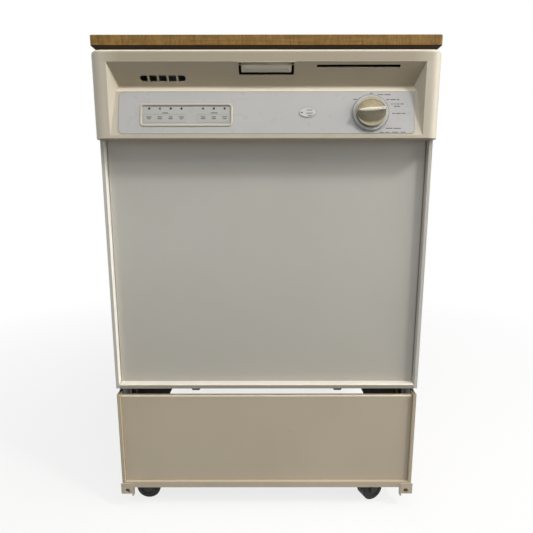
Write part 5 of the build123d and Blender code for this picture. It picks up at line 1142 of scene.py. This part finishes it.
FLOOR_SIZE = 14.0
FADE_START, FADE_END = 0.5, 1.9
GLOW_START = 0.80
BOUNCE = (0.22, 0.22, 0.22)
FILL = 0.05
AIM = Vector((0.0, -0.28, 0.60))
LAMPS = (
    ("key", 3.2, (0.60, -0.40, 0.69), 0.38, 0.46, (1.0, 0.985, 0.95)),
    ("side", 3.0, (0.93, -0.25, 0.27), 1.5, 0.54, (1.0, 0.985, 0.95)),
    ("overhead", 3.2, (0.0, -0.42, 0.907), 3.2, 0.64, (1.0, 0.985, 0.96)),
    ("left", 3.0, (-0.90, -0.40, 0.18), 1.5, 0.15, (0.94, 0.97, 1.0)),
)


def to_eye(tree):
    """1 for what the camera sees, straight, in gloss or through glass, and 0 for light on its way."""
    path = tree.nodes.new("ShaderNodeLightPath")
    total = path.outputs["Is Camera Ray"]
    for name in ("Is Glossy Ray", "Is Transmission Ray"):
        either = tree.nodes.new("ShaderNodeMath")
        either.operation = "MAXIMUM"
        tree.links.new(total, either.inputs[0])
        tree.links.new(path.outputs[name], either.inputs[1])
        total = either.outputs[0]
    return total


def make_floor():
    bm = bmesh.new()
    bmesh.ops.create_grid(bm, x_segments=1, y_segments=1, size=FLOOR_SIZE)
    floor = bpy.data.objects.new("floor", from_bmesh("floor", bm))
    scene.collection.objects.link(floor)
    look = Look("floor_paper", 0.9)
    eye = to_eye(look.tree)
    pale = look.mix(look.noise(2.0, 3.0), (0.88, 0.88, 0.88), (0.92, 0.92, 0.92))
    look.colour(look.mix(eye, BOUNCE, pale))
    out = next(n for n in look.tree.nodes if n.type == "OUTPUT_MATERIAL")
    glow = look.node("ShaderNodeEmission")
    far = look.node("ShaderNodeVectorMath", operation="LENGTH")
    look.put(far.inputs[0], look.place)
    fade = look.band(far.outputs["Value"], FADE_START, FADE_END, GLOW_START, 1.0)
    both = look.node("ShaderNodeMixShader")
    look.put(both.inputs[0], look.math("MULTIPLY", eye, fade))
    look.put(both.inputs[1], look.shader.outputs["BSDF"])
    look.put(both.inputs[2], glow.outputs[0])
    look.put(out.inputs["Surface"], both.outputs[0])
    floor.data.materials.append(look.material)


def make_world():
    world = bpy.data.worlds.new("studio")
    scene.world = world
    world.use_nodes = True
    tree = world.node_tree
    tree.nodes.clear()
    out = tree.nodes.new("ShaderNodeOutputWorld")
    both = tree.nodes.new("ShaderNodeMixShader")
    tree.links.new(to_eye(tree), both.inputs[0])
    for socket, colour, strength in ((1, (0.96, 0.98, 1.0, 1.0), FILL), (2, (1.0, 1.0, 1.0, 1.0), 1.0)):
        light = tree.nodes.new("ShaderNodeBackground")
        light.inputs["Color"].default_value = colour
        light.inputs["Strength"].default_value = strength
        tree.links.new(light.outputs[0], both.inputs[socket])
    tree.links.new(both.outputs[0], out.inputs["Surface"])


def lamp(name, distance, way, size, level, colour):
    """A square lamp. At the aim, on a face turned to it, a level of 1 shows a colour as written."""
    place = AIM + distance * Vector(way)
    reach = AIM - place
    data = bpy.data.lights.new(name, "AREA")
    data.shape = "SQUARE"
    data.size = size
    data.energy = level * math.pi ** 2 * reach.length_squared
    data.color = colour
    made = bpy.data.objects.new(name, data)
    made.location = place
    made.rotation_mode = "QUATERNION"
    made.rotation_quaternion = reach.to_track_quat("-Z", "Y")
    scene.collection.objects.link(made)


make_floor()
make_world()
for details in LAMPS:
    lamp(*details)


# The camera of the photograph, in front of the cabinet's face

CAMERA_REACH = 0.7694
CAMERA_HEIGHT = 0.6529
CAMERA_TILT, CAMERA_ROLL = math.radians(80.5), math.radians(0.05)
LENS, SENSOR = 27.53, 36.0
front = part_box("cabinet_side_left")[0].y
lens = bpy.data.cameras.new("camera")
lens.lens = LENS
lens.sensor_width = SENSOR
camera = bpy.data.objects.new("camera", lens)
camera.location = (0.0, front - CAMERA_REACH, CAMERA_HEIGHT)
camera.rotation_euler = (CAMERA_TILT, CAMERA_ROLL, 0.0)
scene.collection.objects.link(camera)
scene.camera = camera
scene.view_settings.view_transform = "Standard"
